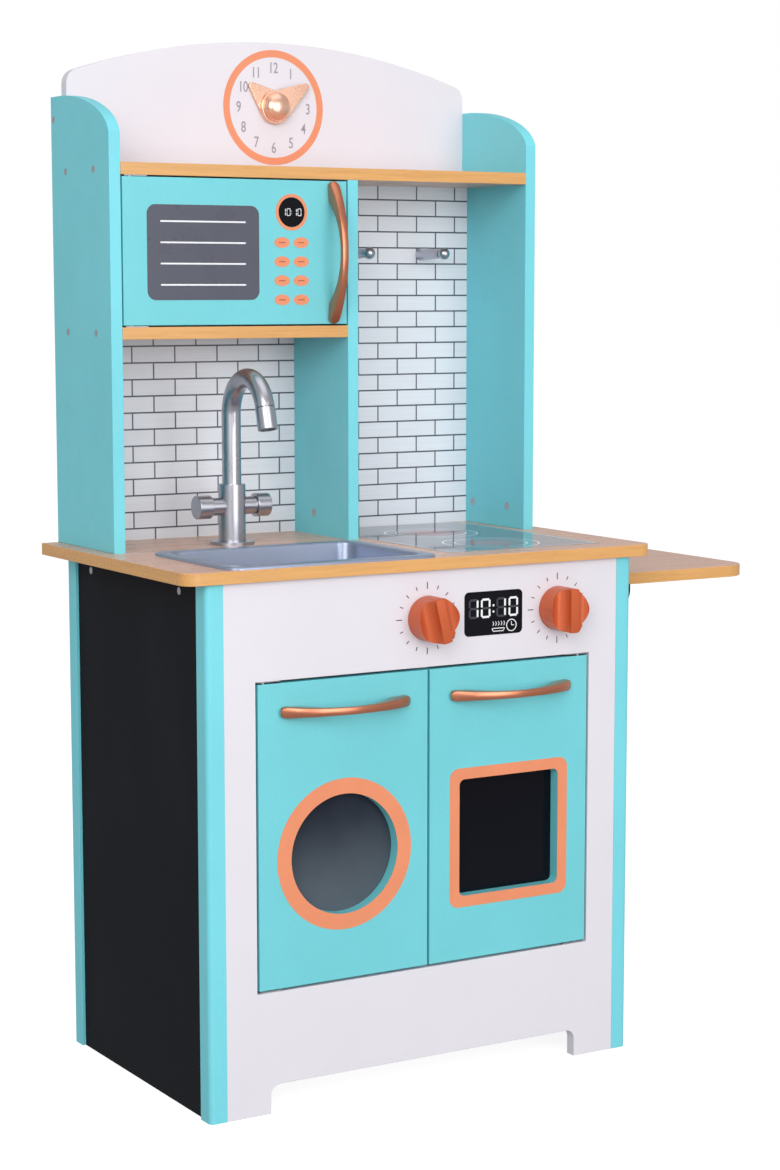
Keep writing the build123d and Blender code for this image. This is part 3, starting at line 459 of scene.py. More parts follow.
def make_active(piece):
    """Select a piece alone."""
    bpy.ops.object.select_all(action="DESELECT")
    piece.select_set(True)
    bpy.context.view_layer.objects.active = piece


def copied(piece, name):
    """A copy of a piece, with its own mesh."""
    make_active(piece)
    bpy.ops.object.duplicate(linked=False)
    copy = bpy.context.active_object
    copy.name = copy.data.name = name
    return copy


def cut(piece, tool, operation):
    """Join a closed tool to a piece, or cut it away, and drop the tool."""
    make_active(piece)
    modify(piece, "BOOLEAN", operation=operation, object=tool, solver="EXACT")
    bpy.data.objects.remove(tool)


def resize(x=1.0, y=1.0, z=1.0, about=(0, 0, 0)):
    """Scale what is selected about a point."""
    bpy.ops.transform.resize(value=(x, y, z), center_override=about)


def extrude(x=0.0, y=0.0, z=0.0):
    """Extrude what is selected."""
    bpy.ops.mesh.extrude_region_move(TRANSFORM_OT_translate={"value": (x, y, z)})


def turn(angle, about):
    """Turn what is selected about a front-to-back axis."""
    bpy.ops.transform.rotate(value=angle, orient_axis="Y", center_override=about)


def fit(piece, body, material, replaces=()):
    """Give a finished piece its material and body, and hide the frame's nodes that it stands for."""
    if isinstance(material, str):
        material = bpy.data.materials[material]
    piece.data.materials.clear()
    piece.data.materials.append(material)
    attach(piece, body)
    if replaces:
        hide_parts(*replaces)


def thicken(piece, thick, out=(0, -1, 0)):
    """Give a flat film its thickness, out from the face that it lies on."""
    bpy.ops.mesh.select_all(action="SELECT")
    bpy.ops.mesh.remove_doubles(threshold=MERGE)
    pick(piece, lambda middle, normal: normal.dot(out) < 0)
    bpy.ops.mesh.flip_normals()
    bpy.ops.object.mode_set(mode="OBJECT")
    modify(piece, "SOLIDIFY", thickness=thick, offset=1.0)
    smooth(30)
    return piece


def round_corners(offset, segments, affect="VERTICES", clamp=False):
    """Bevel the corners of what is selected."""
    bpy.ops.mesh.bevel(affect=affect, offset=offset, segments=segments, clamp_overlap=clamp)


def rounded_outline(spot, half, corner, upright=True, steps=8):
    """Shape the plane just added into a rounded rectangle of half sizes, still selected."""
    wide, tall = 2 * half[0], 2 * half[1]
    resize(wide, 1.0 if upright else tall, tall if upright else 1.0, spot)
    round_corners(corner, steps)


def middle_and_half(low, high):
    """The middle on the worktop, and the half sizes, of a rectangle between two corners."""
    half = [(far - near) / 2 for near, far in zip(low, high)]
    return (low[0] + half[0], low[1] + half[1], WORKTOP_LEVEL), half


def rounded_film(name, spot, half, corner, thick):
    """A rounded rectangle of printed film on a front-facing surface."""
    piece = begin_plane(name, spot)
    rounded_outline(spot, half, corner)
    return thicken(piece, thick)


def disc_film(name, spot, radius, thick, squash=1.0):
    """A round or oval spot of printed film on a front-facing surface."""
    piece = begin_disc(name, spot, radius, FILM_SIDES)
    resize(z=squash, about=spot)
    return thicken(piece, thick)


def ring_film(name, spot, outer, inner, thick):
    """A printed ring on a front-facing surface."""
    piece = begin_disc(name, spot, outer, RING_SIDES)
    bpy.ops.mesh.inset(thickness=outer - inner, depth=0)
    bpy.ops.mesh.delete(type="FACE")
    return thicken(piece, thick)


def frame_film(name, spot, outer, inner, corners, thick):
    """A printed square ring with rounded corners on a front-facing surface."""
    piece = begin_plane(name, spot)
    rounded_outline(spot, (outer, outer), corners[0])
    bpy.ops.mesh.primitive_plane_add(size=1, location=spot, rotation=FACING_FRONT)
    rounded_outline(spot, (inner, inner), corners[1])
    bpy.ops.mesh.select_all(action="SELECT")
    bpy.ops.mesh.delete(type="ONLY_FACE")
    bpy.ops.mesh.select_mode(type="EDGE")
    bpy.ops.mesh.select_all(action="SELECT")
    bpy.ops.mesh.bridge_edge_loops()
    return thicken(piece, thick)


def strips_film(name, strips, y, thick):
    """Straight printed strips: each has its middle x and z, its length, width and lean."""
    piece = None
    for x, z, long, wide, lean in strips:
        spot = (x, y, z)
        if piece is None:
            piece = begin_plane(name, spot)
        else:
            bpy.ops.mesh.select_all(action="DESELECT")
            bpy.ops.mesh.primitive_plane_add(size=1, location=spot, rotation=FACING_FRONT)
        resize(wide, 1, long, spot)
        round_corners(min(wide, long) * CORNER_SHARE, 2)
        if lean:
            turn(lean, spot)
    return thicken(piece, thick)


SEGMENTS = {"0": "abcdef", "1": "bc"}


def digit_strips(text, middles, low, wide, tall, stroke, lit):
    """The lit or the unlit segments of a row of seven-segment digits, as strips."""
    side = (wide - stroke) / 2
    lying = (wide - stroke) * 0.9
    standing = tall / 2 - stroke * 1.15
    upper, lower = tall * 0.75 - stroke * 0.1, tall * 0.25 + stroke * 0.1
    spots = {
        "a": (0, tall - stroke / 2, stroke, lying),
        "g": (0, tall / 2, stroke, lying),
        "d": (0, stroke / 2, stroke, lying),
        "b": (side, upper, standing, stroke),
        "c": (side, lower, standing, stroke),
        "f": (-side, upper, standing, stroke),
        "e": (-side, lower, standing, stroke),
    }
    strips = []
    for mark, x in zip(text, middles):
        if mark != ":":
            for key, (dx, dz, long, broad) in spots.items():
                if (key in SEGMENTS[mark]) == lit:
                    strips.append((x + dx, low + dz, long, broad, 0))
        elif lit:
            strips += [(x, low + tall * share, stroke, stroke, 0) for share in (0.3, 0.62)]
    return strips


# Sizes and colours -------------------------------------------------------------------------


def length(name, description, default):
    """A setting for one length."""
    return bpy.props.FloatProperty(
        name=name, description=description, default=default, unit="LENGTH", precision=4
    )


def spot(name, description, default):
    """A setting for a place, or for several lengths."""
    return bpy.props.FloatVectorProperty(
        name=name,
        description=description,
        default=default,
        size=len(default),
        subtype="XYZ" if len(default) == 3 else "NONE",
        unit="LENGTH",
        precision=4,
    )


def colour(name, description, *screen):
    """A setting for a colour, given from 0 to 255 as it looks on a screen."""
    return bpy.props.FloatVectorProperty(
        name=name, description=description, default=srgb(*screen), size=3, subtype="COLOR", min=0, max=1
    )


def angle(name, description, degrees):
    """A setting for an angle."""
    default = math.radians(degrees)
    return bpy.props.FloatProperty(
        name=name, description=description, default=default, subtype="ANGLE", unit="ROTATION"
    )


def power(name, description, default):
    """A setting for a light's power."""
    return bpy.props.FloatProperty(
        name=name, description=description, default=default, min=0, unit="POWER"
    )


class BoardColours(bpy.types.PropertyGroup):
    white: colour("White", "Front panel and crown board", 222, 219, 227)
    aqua: colour("Aqua", "Posts, hutch boards and divider", 118, 212, 224)
    door: colour("Door aqua", "The three doors", 112, 203, 212)
    chalk: colour("Chalkboard", "Matt black sides", 20, 22, 28)
    inner: colour("Inner white", "Boards inside the cabinet", 222, 221, 226)
    # The beech colour is paler and pinker than the bare wood: partly the wood's colour, partly painted
    # reflection of white light at grazing angles on the tops.
    beech: colour("Beech", "Top of the worktop and shelves", 228, 180, 156)
    fleck: colour("Beech fleck", "Dark dashes in the beech", 158, 108, 76)
    band: colour("Edge band", "Edges of the worktop and shelves", 222, 166, 100)
    tile: colour("Tile", "Brushed face of the printed tiles", 238, 238, 245)
    grout: colour("Grout", "Joints between the tiles", 78, 80, 90)
    silver: colour("Silver", "Tap and hooks", 190, 191, 200)
    steel: colour("Steel", "Screws, pins and plates", 178, 178, 182)
    copper: colour("Copper", "Bow handles", 208, 132, 102)
    # The pale copper is a paler copy of the copper: painted reflection of the front light on the flat
    # hands and the cap.
    clock: colour("Pale copper", "Clock hands and cap", 250, 200, 174)
    copper_plastic: colour("Copper plastic", "Control knobs", 204, 94, 50)
    sink: colour("Sink", "Sink basin", 150, 160, 182)


class TileSizes(bpy.types.PropertyGroup):
    brick: length("Brick length", "From joint to joint along a course", 48.6 * MM)
    row: length("Course height", "From joint to joint up the wall", 16.95 * MM)
    joint: length("Joint", "Width of the dark joint", 1.5 * MM)
    start: spot("Start", "Low left corner of one brick, across and up", (0.1935, 0.5176))


class ClockSizes(bpy.types.PropertyGroup):
    centre: spot("Centre", "Middle of the dial, across and up", (0.0, 0.9665))
    ring_outer: length("Ring outer radius", "Coral ring", 58.9 * MM)
    ring_inner: length("Ring inner radius", "Coral ring", 51.5 * MM)
    numeral_radius: length("Numeral radius", "Middle of the numerals", 41.0 * MM)
    numeral_size: length("Numeral size", "Letter size of the numerals", 15.62 * MM)
    numeral_drop: length("Numeral drop", "How far all the numerals are lowered", 0.8 * MM)
    numeral_weight: length("Numeral weight", "How much the strokes are thickened", 0.12 * MM)
    numeral_colour: colour("Numerals", "Colour of the numerals", 158, 152, 162)
    cap_radius: length("Cap radius", "Domed cap over the hands", 15.0 * MM)


class PrintSizes(bpy.types.PropertyGroup):
    film: length("Film", "Thickness of the printed films", 0.25 * MM)
    coral: colour("Coral", "Printed rings and buttons", 233, 144, 104)
    button_mark: colour("Button mark", "Marks on the buttons", 176, 92, 62)
    black: colour("Black", "Displays", 18, 17, 23)
    lit: colour("Lit", "Lit digits and marks", 236, 238, 242)
    unlit: colour("Unlit", "Unlit digits", 52, 54, 66)
    tick: colour("Tick", "Marks round the knobs", 70, 68, 78)
    window: colour("Window", "Printed window of the microwave", 84, 86, 99)


class MicrowaveSizes(bpy.types.PropertyGroup):
    window: spot("Window", "Middle of the window, across and up", (-0.1457, 0.8143))
    window_half: spot("Window half size", "Across and up", (0.0613, 0.0461))
    window_corner: length("Window corner", "Radius of the window's corners", 9.0 * MM)
    lines: spot("Window lines", "Heights of the window's lines", (0.8443, 0.8239, 0.8035, 0.783))
    line: spot("Line", "Middle, width and length of a line", (-0.14605, 0.0016, 0.0933))
    display: spot("Display", "Middle of the display, across and up", (-0.0476, 0.8549))
    display_radii: spot("Display radii", "Ring outside and inside, and disc", (0.018, 0.0148, 0.0147))
    digits: spot("Digits", "Their foot, width, height and stroke", (0.8512, 0.0043, 0.0074, 0.0007))
    digit_spots: spot(
        "Digit places", "Across from the display's middle", (-0.0089, -0.00345, 0.0, 0.0036, 0.0089)
    )
    columns: spot("Columns", "The buttons' places across", (-0.0586, -0.0369))
    rows: spot("Rows", "The buttons' heights", (0.8249, 0.806, 0.7872, 0.7682))
    button: length("Button", "Half length of an oval button", 8.7 * MM)
    mark: spot("Button mark", "Width and length of a button's mark", (0.0011, 0.0074))


class FrontSizes(bpy.types.PropertyGroup):
    display: spot("Display", "Middle of the display, across and up", (0.07425, 0.46455))
    display_half: spot("Display half size", "Across and up", (0.03385, 0.02175))
    display_corner: length("Display corner", "Radius of the display's corners", 5.0 * MM)
    digits: spot("Digits", "Their foot, width, height and stroke", (0.46, 0.0112, 0.0193, 0.0021))
    digit_spots: spot("Digit places", "Across", (0.051, 0.065, 0.0741, 0.0831, 0.0974))
    icon_clock: spot("Small clock", "Middle of its ring, across and up", (0.0953, 0.4511))
    icon_radii: spot("Small clock radii", "Outside and inside of its ring", (0.0061, 0.0052))
    long_tick: spot("Long tick", "From and to, from a knob's middle", (0.0286, 0.0352))
    short_tick: spot("Short tick", "From and to, from a knob's middle", (0.0294, 0.0334))
    tick: length("Tick", "Width of a tick", 0.9 * MM)
    window: spot("Windows", "How far out and how high both windows sit", (0.094, 0.2435))
    washer_ring: length("Washer ring", "Outer radius of the washer's ring", 73.7 * MM)
    oven_ring: length("Oven ring", "Outer half size of the oven's ring", 69.7 * MM)
    oven_corners: spot("Oven ring corners", "Outside and inside", (0.01, 0.006))
    opening: length("Opening", "Radius or half size of both window holes", 58.5 * MM)


class HobSizes(bpy.types.PropertyGroup):
    low: spot("Low corner", "Front left corner, across and back", (0.0400, -0.2820))
    high: spot("High corner", "Back right corner, across and back", (0.2220, -0.0110))
    corner: length("Corner", "Radius of the film's corners", 1.5 * MM)
    margin: length("Border margin", "From the edge to the border line", 3.5 * MM)
    line: length("Line", "Width of the printed lines", 1.8 * MM)
    burner_near: spot("Near burner", "Across and back", (0.1280, -0.2220))
    burner_far: spot("Far burner", "Across and back", (0.1280, -0.1070))
    burner_outer: length("Outer ring", "Radius of a burner's outer ring", 49.0 * MM)
    burner_inner: length("Inner ring", "Radius of a burner's inner ring", 37.0 * MM)
    film_colour: colour("Film", "Grey film", 112, 110, 118)
    burner_colour: colour("Burner", "Warm tint in the burners", 206, 116, 118)
    line_colour: colour("Lines", "Border and rings", 252, 252, 254)


class HandleSizes(bpy.types.PropertyGroup):
    half: length("Half length", "Half of a handle's length", 71.0 * MM)
    out: length("Stand-out", "How far the bow stands off the door", 28.0 * MM)
    bar: length("Bar", "Thickness of the bow in its middle", 5.6 * MM)
    foot: length("Foot", "Length of a foot", 20.0 * MM)
    nose: length("Nose", "Length of the rounded end", 5.0 * MM)
    toe: spot("Toe", "Length and thickness of the very end", (0.002, 0.004))
    waist: length("Waist", "Width of the bow in its middle", 7.2 * MM)
    wide: length("Width", "Width of the bow at its feet", 11.0 * MM)


class KnobSizes(bpy.types.PropertyGroup):
    radius: length("Radius", "Body of a knob", 22.0 * MM)
    tall: length("Height", "Height of the grip over the panel", 31.0 * MM)
    grip: length("Grip width", "Width of the grip's crest", 9.6 * MM)
    scoop: length("Scoop", "Radius of the two finger scoops", 9.4 * MM)
    scoop_depth: length("Scoop depth", "From the crest to the scoops' axis", 2.1 * MM)
    nib: spot("Pointer size", "Across, out and along", (0.008, 0.012, 0.008))
    nib_level: length("Pointer level", "Height of the pointer's middle", 17.5 * MM)
    nib_inset: length("Pointer inset", "From the knob's rim to the pointer's middle", 2.6 * MM)
    nib_edge: length("Pointer edge", "Rounding of the pointer", 1.2 * MM)
    pointer: angle("Pointer", "Where the pointer stands, round from the grip's foot", 30)
    off: length("Gap", "Gap between knob and panel", 0.4 * MM)
    height: length("Level", "Height of both knobs", 464.4 * MM)
    left_x: length("Left knob", "Across", -2.0 * MM)
    right_x: length("Right knob", "Across", 150.0 * MM)
    left_turn: angle("Left turn", "How far the left knob is turned", 13)


class SinkSizes(bpy.types.PropertyGroup):
    low: spot("Low corner", "Front left corner of the rim", (-0.2190, -0.3150))
    high: spot("High corner", "Back right corner of the rim", (0.0100, -0.1470))
    rim: length("Rim", "Height of the rim's outer edge over the worktop", 1.3 * MM)
    corner: length("Corner", "Radius of the rim's corners", 16.0 * MM)
    lip: length("Lip", "From the rim's edge to the bowl", 13.0 * MM)
    deep: length("Depth", "From the worktop to the bowl's floor", 43.5 * MM)
    wall: length("Wall", "Thickness of the moulding", 1.6 * MM)
    strainer: length("Strainer", "Radius of the strainer", 17.0 * MM)
    strainer_tall: length("Strainer height", "Height of its flange and of its knob", 0.9 * MM)


class StudioSettings(bpy.types.PropertyGroup):
    camera: spot("Camera", "Where the camera stands", (-1.26023, -2.33265, 0.78078))
    aim: bpy.props.FloatVectorProperty(
        name="Aim",
        description="The camera's rotation",
        default=(math.radians(90 - 7.41), 0, math.radians(-31.03)),
        subtype="EULER",
    )
    lens: bpy.props.FloatProperty(
        name="Lens", description="Focal length in millimetres", default=76.73, min=1
    )
    shift: bpy.props.FloatVectorProperty(
        name="Shift", description="Lens shift across and up", default=(-0.00082, 0.02262), size=2
    )
    left: power("Left light", "Power of the left softbox", 66)
    front: power("Front light", "Power of the front softbox", 52)
    top: power("Top light", "Power of the top softbox", 16)


# Operators ---------------------------------------------------------------------------------


class PieceOperator(bpy.types.Operator):
    """The settings that every operator here shares."""

    bl_options = {"REGISTER", "UNDO"}


class KITCHEN_OT_finishes(PieceOperator):
    """Give every board and fitting of the frame its finish."""

    bl_idname = "kitchen.finishes"
    bl_label = "Board finishes"

    def execute(self, context):
        tint = context.scene.kitchen_boards
        made = {
            "white_board": painted_board("white_satin_foil", tint.white, cloud=0.02),
            "chalkboard": chalk_paint("blackboard_paint", tint.chalk),
            "aqua_board": painted_board("aqua_satin_paint", tint.aqua),
            "aqua_door": painted_board("aqua_door_paint", tint.door),
            "inner_board": painted_board("inner_white_foil", tint.inner, gloss=0.5),
            "beech_board": beech_print("beech_lacquer", tint),
            "tile_print": tile_print("brick_tile_print", tint, context.scene.kitchen_tiles),
            "satin_silver": moulded_metal("satin_silver_plating", tint.silver, 0.29),
            "sink_plastic": moulded_metal("sink_silver_plastic", tint.sink, 0.3, metal=0.6),
            "steel": moulded_metal("zinc_plated_steel", tint.steel, 0.33),
            "catch_plastic": painted_board("catch_white_plastic", tint.inner, gloss=0.35),
            "copper": moulded_metal("satin_copper", tint.copper, 0.3, metal=0.9),
            "copper_plastic": moulded_metal("coppered_plastic", tint.copper_plastic, 0.36, metal=0.25),
            "clear_pane": smoked_pane("smoked_acrylic", (0.003, 0.003, 0.006), (0.004, 0.005, 0.009)),
        }
        # The washer pane's foot colour is much paler than its top: painted reflection and painted light
        # seen through the pane.
        washer = smoked_pane("smoked_washer_acrylic", (0.013, 0.017, 0.029), (0.09, 0.112, 0.135))
        # A paler copy of the copper for the clock hands and cap: its paleness is painted reflection of
        # the front light.
        pale = moulded_metal("pale_clock_copper", tint.clock, 0.27, metal=0.85)
        special = {"washer_window": washer, "hour_hand": pale, "minute_hand": pale}
        for name, node in NODES.items():
            slot = node.material_slots[0].material.name.split(".")[0]
            node.material_slots[0].material = special.get(name, made[slot])
        return {"FINISHED"}


class KITCHEN_OT_clock_dial(PieceOperator):
    """Print the clock's ring and numerals on the crown board, and mould its domed cap."""

    bl_idname = "kitchen.clock_dial"
    bl_label = "Clock dial"

    def execute(self, context):
        clock = context.scene.kitchen_clock
        film = context.scene.kitchen_prints.film
        x, z = clock.centre
        print_ink("coral_ink", context.scene.kitchen_prints.coral)
        ring = ring_film("clock_ring", (x, CROWN_FACE, z), clock.ring_outer, clock.ring_inner, film)
        fit(ring, "cabinet", "coral_ink")
        bpy.ops.object.select_all(action="DESELECT")
        numerals = []
        for hour in range(1, 13):
            around = hour * math.tau / 12
            across = x + clock.numeral_radius * math.sin(around)
            up = z - clock.numeral_drop + clock.numeral_radius * math.cos(around)
            bpy.ops.object.text_add(rotation=FACING_FRONT, location=(across, CROWN_FACE - film / 2, up))
            numeral = context.active_object
            text = numeral.data
            text.body = str(hour)
            text.size = clock.numeral_size
            text.align_x = text.align_y = "CENTER"
            text.extrude = film / 2
            text.offset = clock.numeral_weight
            text.space_character = NUMERAL_SPACING
            numeral.scale.x = NUMERAL_NARROWING
            bpy.ops.object.convert(target="MESH")
            numerals.append(context.active_object)
        for numeral in numerals:
            numeral.select_set(True)
        context.view_layer.objects.active = numerals[0]
        bpy.ops.object.transform_apply(location=True, rotation=True, scale=True)
        bpy.ops.object.join()
        figures = context.active_object
        figures.name = figures.data.name = "clock_numerals"
        bpy.ops.object.mode_set(mode="EDIT")
        close()
        bpy.ops.object.transform_apply(location=True, rotation=True, scale=True)
        fit(figures, "cabinet", print_ink("numeral_ink", clock.numeral_colour))

        low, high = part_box("clock_cap")
        middle = (x, high.y, z)
        cap = begin_disc("clock_dome", middle, clock.cap_radius, DOME_SIDES)
        reach, rise = 1.0, 0.0
        for new_reach, new_rise in DOME_PROFILE:
            extrude(y=(rise - new_rise) * (high.y - low.y))
            resize(new_reach / reach, 1, new_reach / reach, middle)
            reach, rise = new_reach, new_rise
        close(angle=50)
        fit(cap, "cabinet", "pale_clock_copper", ["clock_cap"])
        return {"FINISHED"}


class KITCHEN_OT_microwave_face(PieceOperator):
    """Print the microwave's window, display and buttons on its door."""

    bl_idname = "kitchen.microwave_face"
    bl_label = "Microwave face"

    def execute(self, context):
        prints = context.scene.kitchen_prints
        sizes = context.scene.kitchen_microwave
        film = prints.film
        print_ink("window_grey_ink", prints.window, 0.3, 0.3)
        print_ink("white_ink", prints.lit)
        print_ink("display_black_ink", prints.black, 0.2, 0.12)

        def on_door(spot):
            return (spot[0], MICROWAVE_FACE, spot[1])

        def strips(name, places):
            return strips_film(name, places, MICROWAVE_FACE - film, film / 2)

        def stick(piece, ink):
            fit(piece, "microwave_door", ink)

        window = on_door(sizes.window)
        pane = rounded_film("microwave_window", window, sizes.window_half, sizes.window_corner, film)
        stick(pane, "window_grey_ink")
        middle, wide, long = sizes.line
        shelves = [(middle, z, wide, long, 0) for z in sizes.lines]
        stick(strips("microwave_shelf_lines", shelves), "white_ink")
        outside, inside, disc = sizes.display_radii
        display = on_door(sizes.display)
        ring = ring_film("microwave_display_ring", display, outside, inside, film)
        stick(ring, "coral_ink")
        black = disc_film("microwave_display", display, disc, film)
        stick(black, "display_black_ink")
        middles = [display[0] + away for away in sizes.digit_spots]
        digits = strips("microwave_digits", digit_strips("10:10", middles, *sizes.digits, True))
        stick(digits, "white_ink")
        spots = [(x, z) for x in sizes.columns for z in sizes.rows]
        first = on_door(spots[0])
        buttons = [disc_film("microwave_button_1", first, sizes.button, film, BUTTON_SQUASH)]
        for number, (x, z) in enumerate(spots[1:], 2):
            button = copied(buttons[0], f"microwave_button_{number}")
            bpy.ops.transform.translate(value=(x - first[0], 0, z - first[2]))
            bpy.ops.object.transform_apply(location=True, rotation=False, scale=False)
            buttons.append(button)
        for button in buttons:
            stick(button, "coral_ink")
        mark_ink = print_ink("button_mark_ink", prints.button_mark)
        marks = strips("microwave_button_marks", [(*spot, *sizes.mark, 0) for spot in spots])
        stick(marks, mark_ink)
        return {"FINISHED"}


class KITCHEN_OT_front_prints(PieceOperator):
    """Print the clock display and the knob scales on the front panel, and the doors' coral rings."""

    bl_idname = "kitchen.front_prints"
    bl_label = "Front panel prints"

    def execute(self, context):
        prints = context.scene.kitchen_prints
        sizes = context.scene.kitchen_front
        knobs = context.scene.kitchen_knobs
        film = prints.film
        over = FRONT_FACE - film

        def stick(piece, ink):
            fit(piece, "cabinet", ink)

        middle = (sizes.display[0], FRONT_FACE, sizes.display[1])
        display = rounded_film("oven_display", middle, sizes.display_half, sizes.display_corner, film)
        stick(display, "display_black_ink")
        print_ink("unlit_digit_ink", prints.unlit)
        for name, lit, ink in (("lit", True, "white_ink"), ("unlit", False, "unlit_digit_ink")):
            strips = digit_strips("10:10", sizes.digit_spots, *sizes.digits, lit)
            digits = strips_film(f"oven_display_{name}", strips, over, film / 2)
            stick(digits, ink)
        icons = strips_film("oven_display_icons", ICON_STRIPS, over, film / 2)
        stick(icons, "white_ink")
        middle = (sizes.icon_clock[0], over, sizes.icon_clock[1])
        clock_ring = ring_film("oven_display_clock", middle, *sizes.icon_radii, film / 2)
        stick(clock_ring, "white_ink")
        print_ink("tick_ink", prints.tick)
        for hand, x in (("left", knobs.left_x), ("right", knobs.right_x)):
            ticks = []
            for number in range(TICKS):
                around = number * math.tau / TICKS
                near, far = sizes.short_tick if number % 4 else sizes.long_tick
                reach = (near + far) / 2
                across, up = reach * math.sin(around), reach * math.cos(around)
                ticks.append((x + across, knobs.height + up, far - near, sizes.tick, -around))
            scale = strips_film(f"{hand}_knob_scale", ticks, FRONT_FACE, film)
            stick(scale, "tick_ink")
        out, up = sizes.window
        washer = (-out, DOOR_FACE, up)
        ring = ring_film("washer_ring", washer, sizes.washer_ring, sizes.opening, film)
        fit(ring, "washer_door", "coral_ink")
        oven = (out, DOOR_FACE, up)
        ring = frame_film("oven_ring", oven, sizes.oven_ring, sizes.opening, sizes.oven_corners, film)
        fit(ring, "oven_door", "coral_ink")
        return {"FINISHED"}


class KITCHEN_OT_hob(PieceOperator):
    """Lay the printed hob film on the worktop."""

    bl_idname = "kitchen.hob"
    bl_label = "Hob film"

    def execute(self, context):
        sizes = context.scene.kitchen_hob
        middle, half = middle_and_half(sizes.low, sizes.high)
        piece = begin_plane("hob_film", middle, FACING_UP)
        rounded_outline(middle, half, sizes.corner, upright=False, steps=3)
        thicken(piece, context.scene.kitchen_prints.film, out=(0, 0, 1))
        fit(piece, "cabinet", hob_print("hob_film_print", sizes))
        return {"FINISHED"}


def bow_sections(sizes):
    """Places along a bow handle, each with its back, front and half width."""
    half, nose = sizes.half, sizes.nose
    toe_long, toe_thick = sizes.toe
    foot = half - sizes.foot

    def arc(x, reach, peak, base):
        """How far an arc stands out that is peak high in its middle and base high at its reach."""
        radius = (reach**2 + (peak - base) ** 2) / (2 * (peak - base))
        return math.sqrt(max(radius**2 - x**2, 0)) - radius + peak

    stops = [half * 0.9988, *(half - inward * MM for inward in (0.8, 2.2, 5, 9, 14))]
    stops += [foot, foot - 4 * MM, foot - 10 * MM]
    stops += [stops[-1] * (1 - n / 9) for n in range(1, 10)]
    sections = []
    for x in stops:
        front = arc(x, half, sizes.out, toe_thick)
        back = max(arc(x, foot, sizes.out - sizes.bar, 0), 0.0) if x < foot else 0.0
        if x > half - toe_long:
            back = toe_thick * (x - half + toe_long) / toe_long * 0.9
        flare = (x / (half - nose)) ** 2
        width = sizes.waist + (sizes.wide - sizes.waist) * min(flare, 1)
        if x > half - nose:
            width *= math.sqrt(max(1 - ((x - half + nose) / nose) ** 2, 0.04))
        sections.append((x, back, front, width / 2))
    return [(-x, *rest) for x, *rest in sections] + sections[-2::-1]


class KITCHEN_OT_handles(PieceOperator):
    """Mould the three bow handles."""

    bl_idname = "kitchen.handles"
    bl_label = "Bow handles"

    def execute(self, context):
        here, depth, half = None, 1.0, 0.5
        for x, back, front, new_half in bow_sections(context.scene.kitchen_handles):
            there = (x, -(back + front) / 2, 0)
            new_depth = front - back
            if here is None:
                bar = begin_plane("bow_handle", there, rotation=(0, math.pi / 2, 0))
            else:
                extrude(*(t - h for t, h in zip(there, here)))
            resize(1, new_depth / depth, new_half / half, there)
            if here is None:
                round_corners(min(new_depth, 2 * new_half) * 0.34, 5)
            here, depth, half = there, new_depth, new_half
        close(angle=48)
        for name, face in (("washer", DOOR_FACE), ("oven", DOOR_FACE), ("microwave", MICROWAVE_FACE)):
            low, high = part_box(f"{name}_handle")
            middle = (low + high) / 2
            copy = copied(bar, f"{name}_bow_handle")
            if name == "microwave":
                copy.rotation_euler = (0, math.pi / 2, 0)
            copy.location = (middle.x, face, middle.z)
            bpy.ops.object.transform_apply(location=True, rotation=True, scale=True)
            fit(copy, f"{name}_door", "satin_copper", [f"{name}_handle"])
        bpy.data.objects.remove(bar)
        return {"FINISHED"}


class KITCHEN_OT_knobs(PieceOperator):
    """Mould the two control knobs: a round body with a grip between two scoops, and a pointer."""

    bl_idname = "kitchen.knobs"
    bl_label = "Control knobs"

    def execute(self, context):
        sizes = context.scene.kitchen_knobs
        left = self.moulded(sizes, (sizes.left_x, FRONT_FACE - sizes.off, sizes.height))
        right = copied(left, "right_control_knob")
        right.location.x = sizes.right_x - sizes.left_x
        bpy.ops.object.transform_apply(location=True, rotation=False, scale=False)
        make_active(left)
        bpy.ops.object.mode_set(mode="EDIT")
        bpy.ops.mesh.select_all(action="SELECT")
        turn(sizes.left_turn, (sizes.left_x, 0, sizes.height))
        bpy.ops.object.mode_set(mode="OBJECT")
        fit(left, "left_knob", "coppered_plastic", ["left_knob"])
        fit(right, "right_knob", "coppered_plastic", ["right_knob"])
        return {"FINISHED"}

    def moulded(self, sizes, middle):
        """The left knob, not turned yet."""
        x, back, z = middle
        knob = begin_disc("left_control_knob", middle, sizes.radius, KNOB_SIDES)
        reach, rise = sizes.radius, 0.0
        for inward, under in KNOB_CREST:
            new_reach, new_rise = sizes.radius - inward * MM, sizes.tall - under * MM
            extrude(y=rise - new_rise)
            resize(new_reach / reach, 1, new_reach / reach, middle)
            reach, rise = new_reach, new_rise
        close()
        for side in (-1, 1):
            away = side * (sizes.grip / 2 + sizes.scoop * 0.975)
            scoop = begin(
                "cylinder",
                "scoop",
                vertices=SCOOP_SIDES,
                radius=sizes.scoop,
                depth=3 * sizes.radius,
                location=(x + away, back - sizes.tall + sizes.scoop_depth, z),
            )
            close()
            cut(knob, scoop, "DIFFERENCE")
        reach, around = sizes.radius - sizes.nib_inset, sizes.pointer
        nib = (x + reach * math.sin(around), back - sizes.nib_level, z - reach * math.cos(around))
        pointer = begin("cube", "pointer", size=1, location=nib)
        resize(*sizes.nib, nib)
        turn(-around, nib)
        round_corners(sizes.nib_edge, 3, affect="EDGES", clamp=True)
        close()
        cut(knob, pointer, "UNION")
        modify(knob, "WELD", merge_threshold=WELD_GAP)
        smooth(32)
        return knob


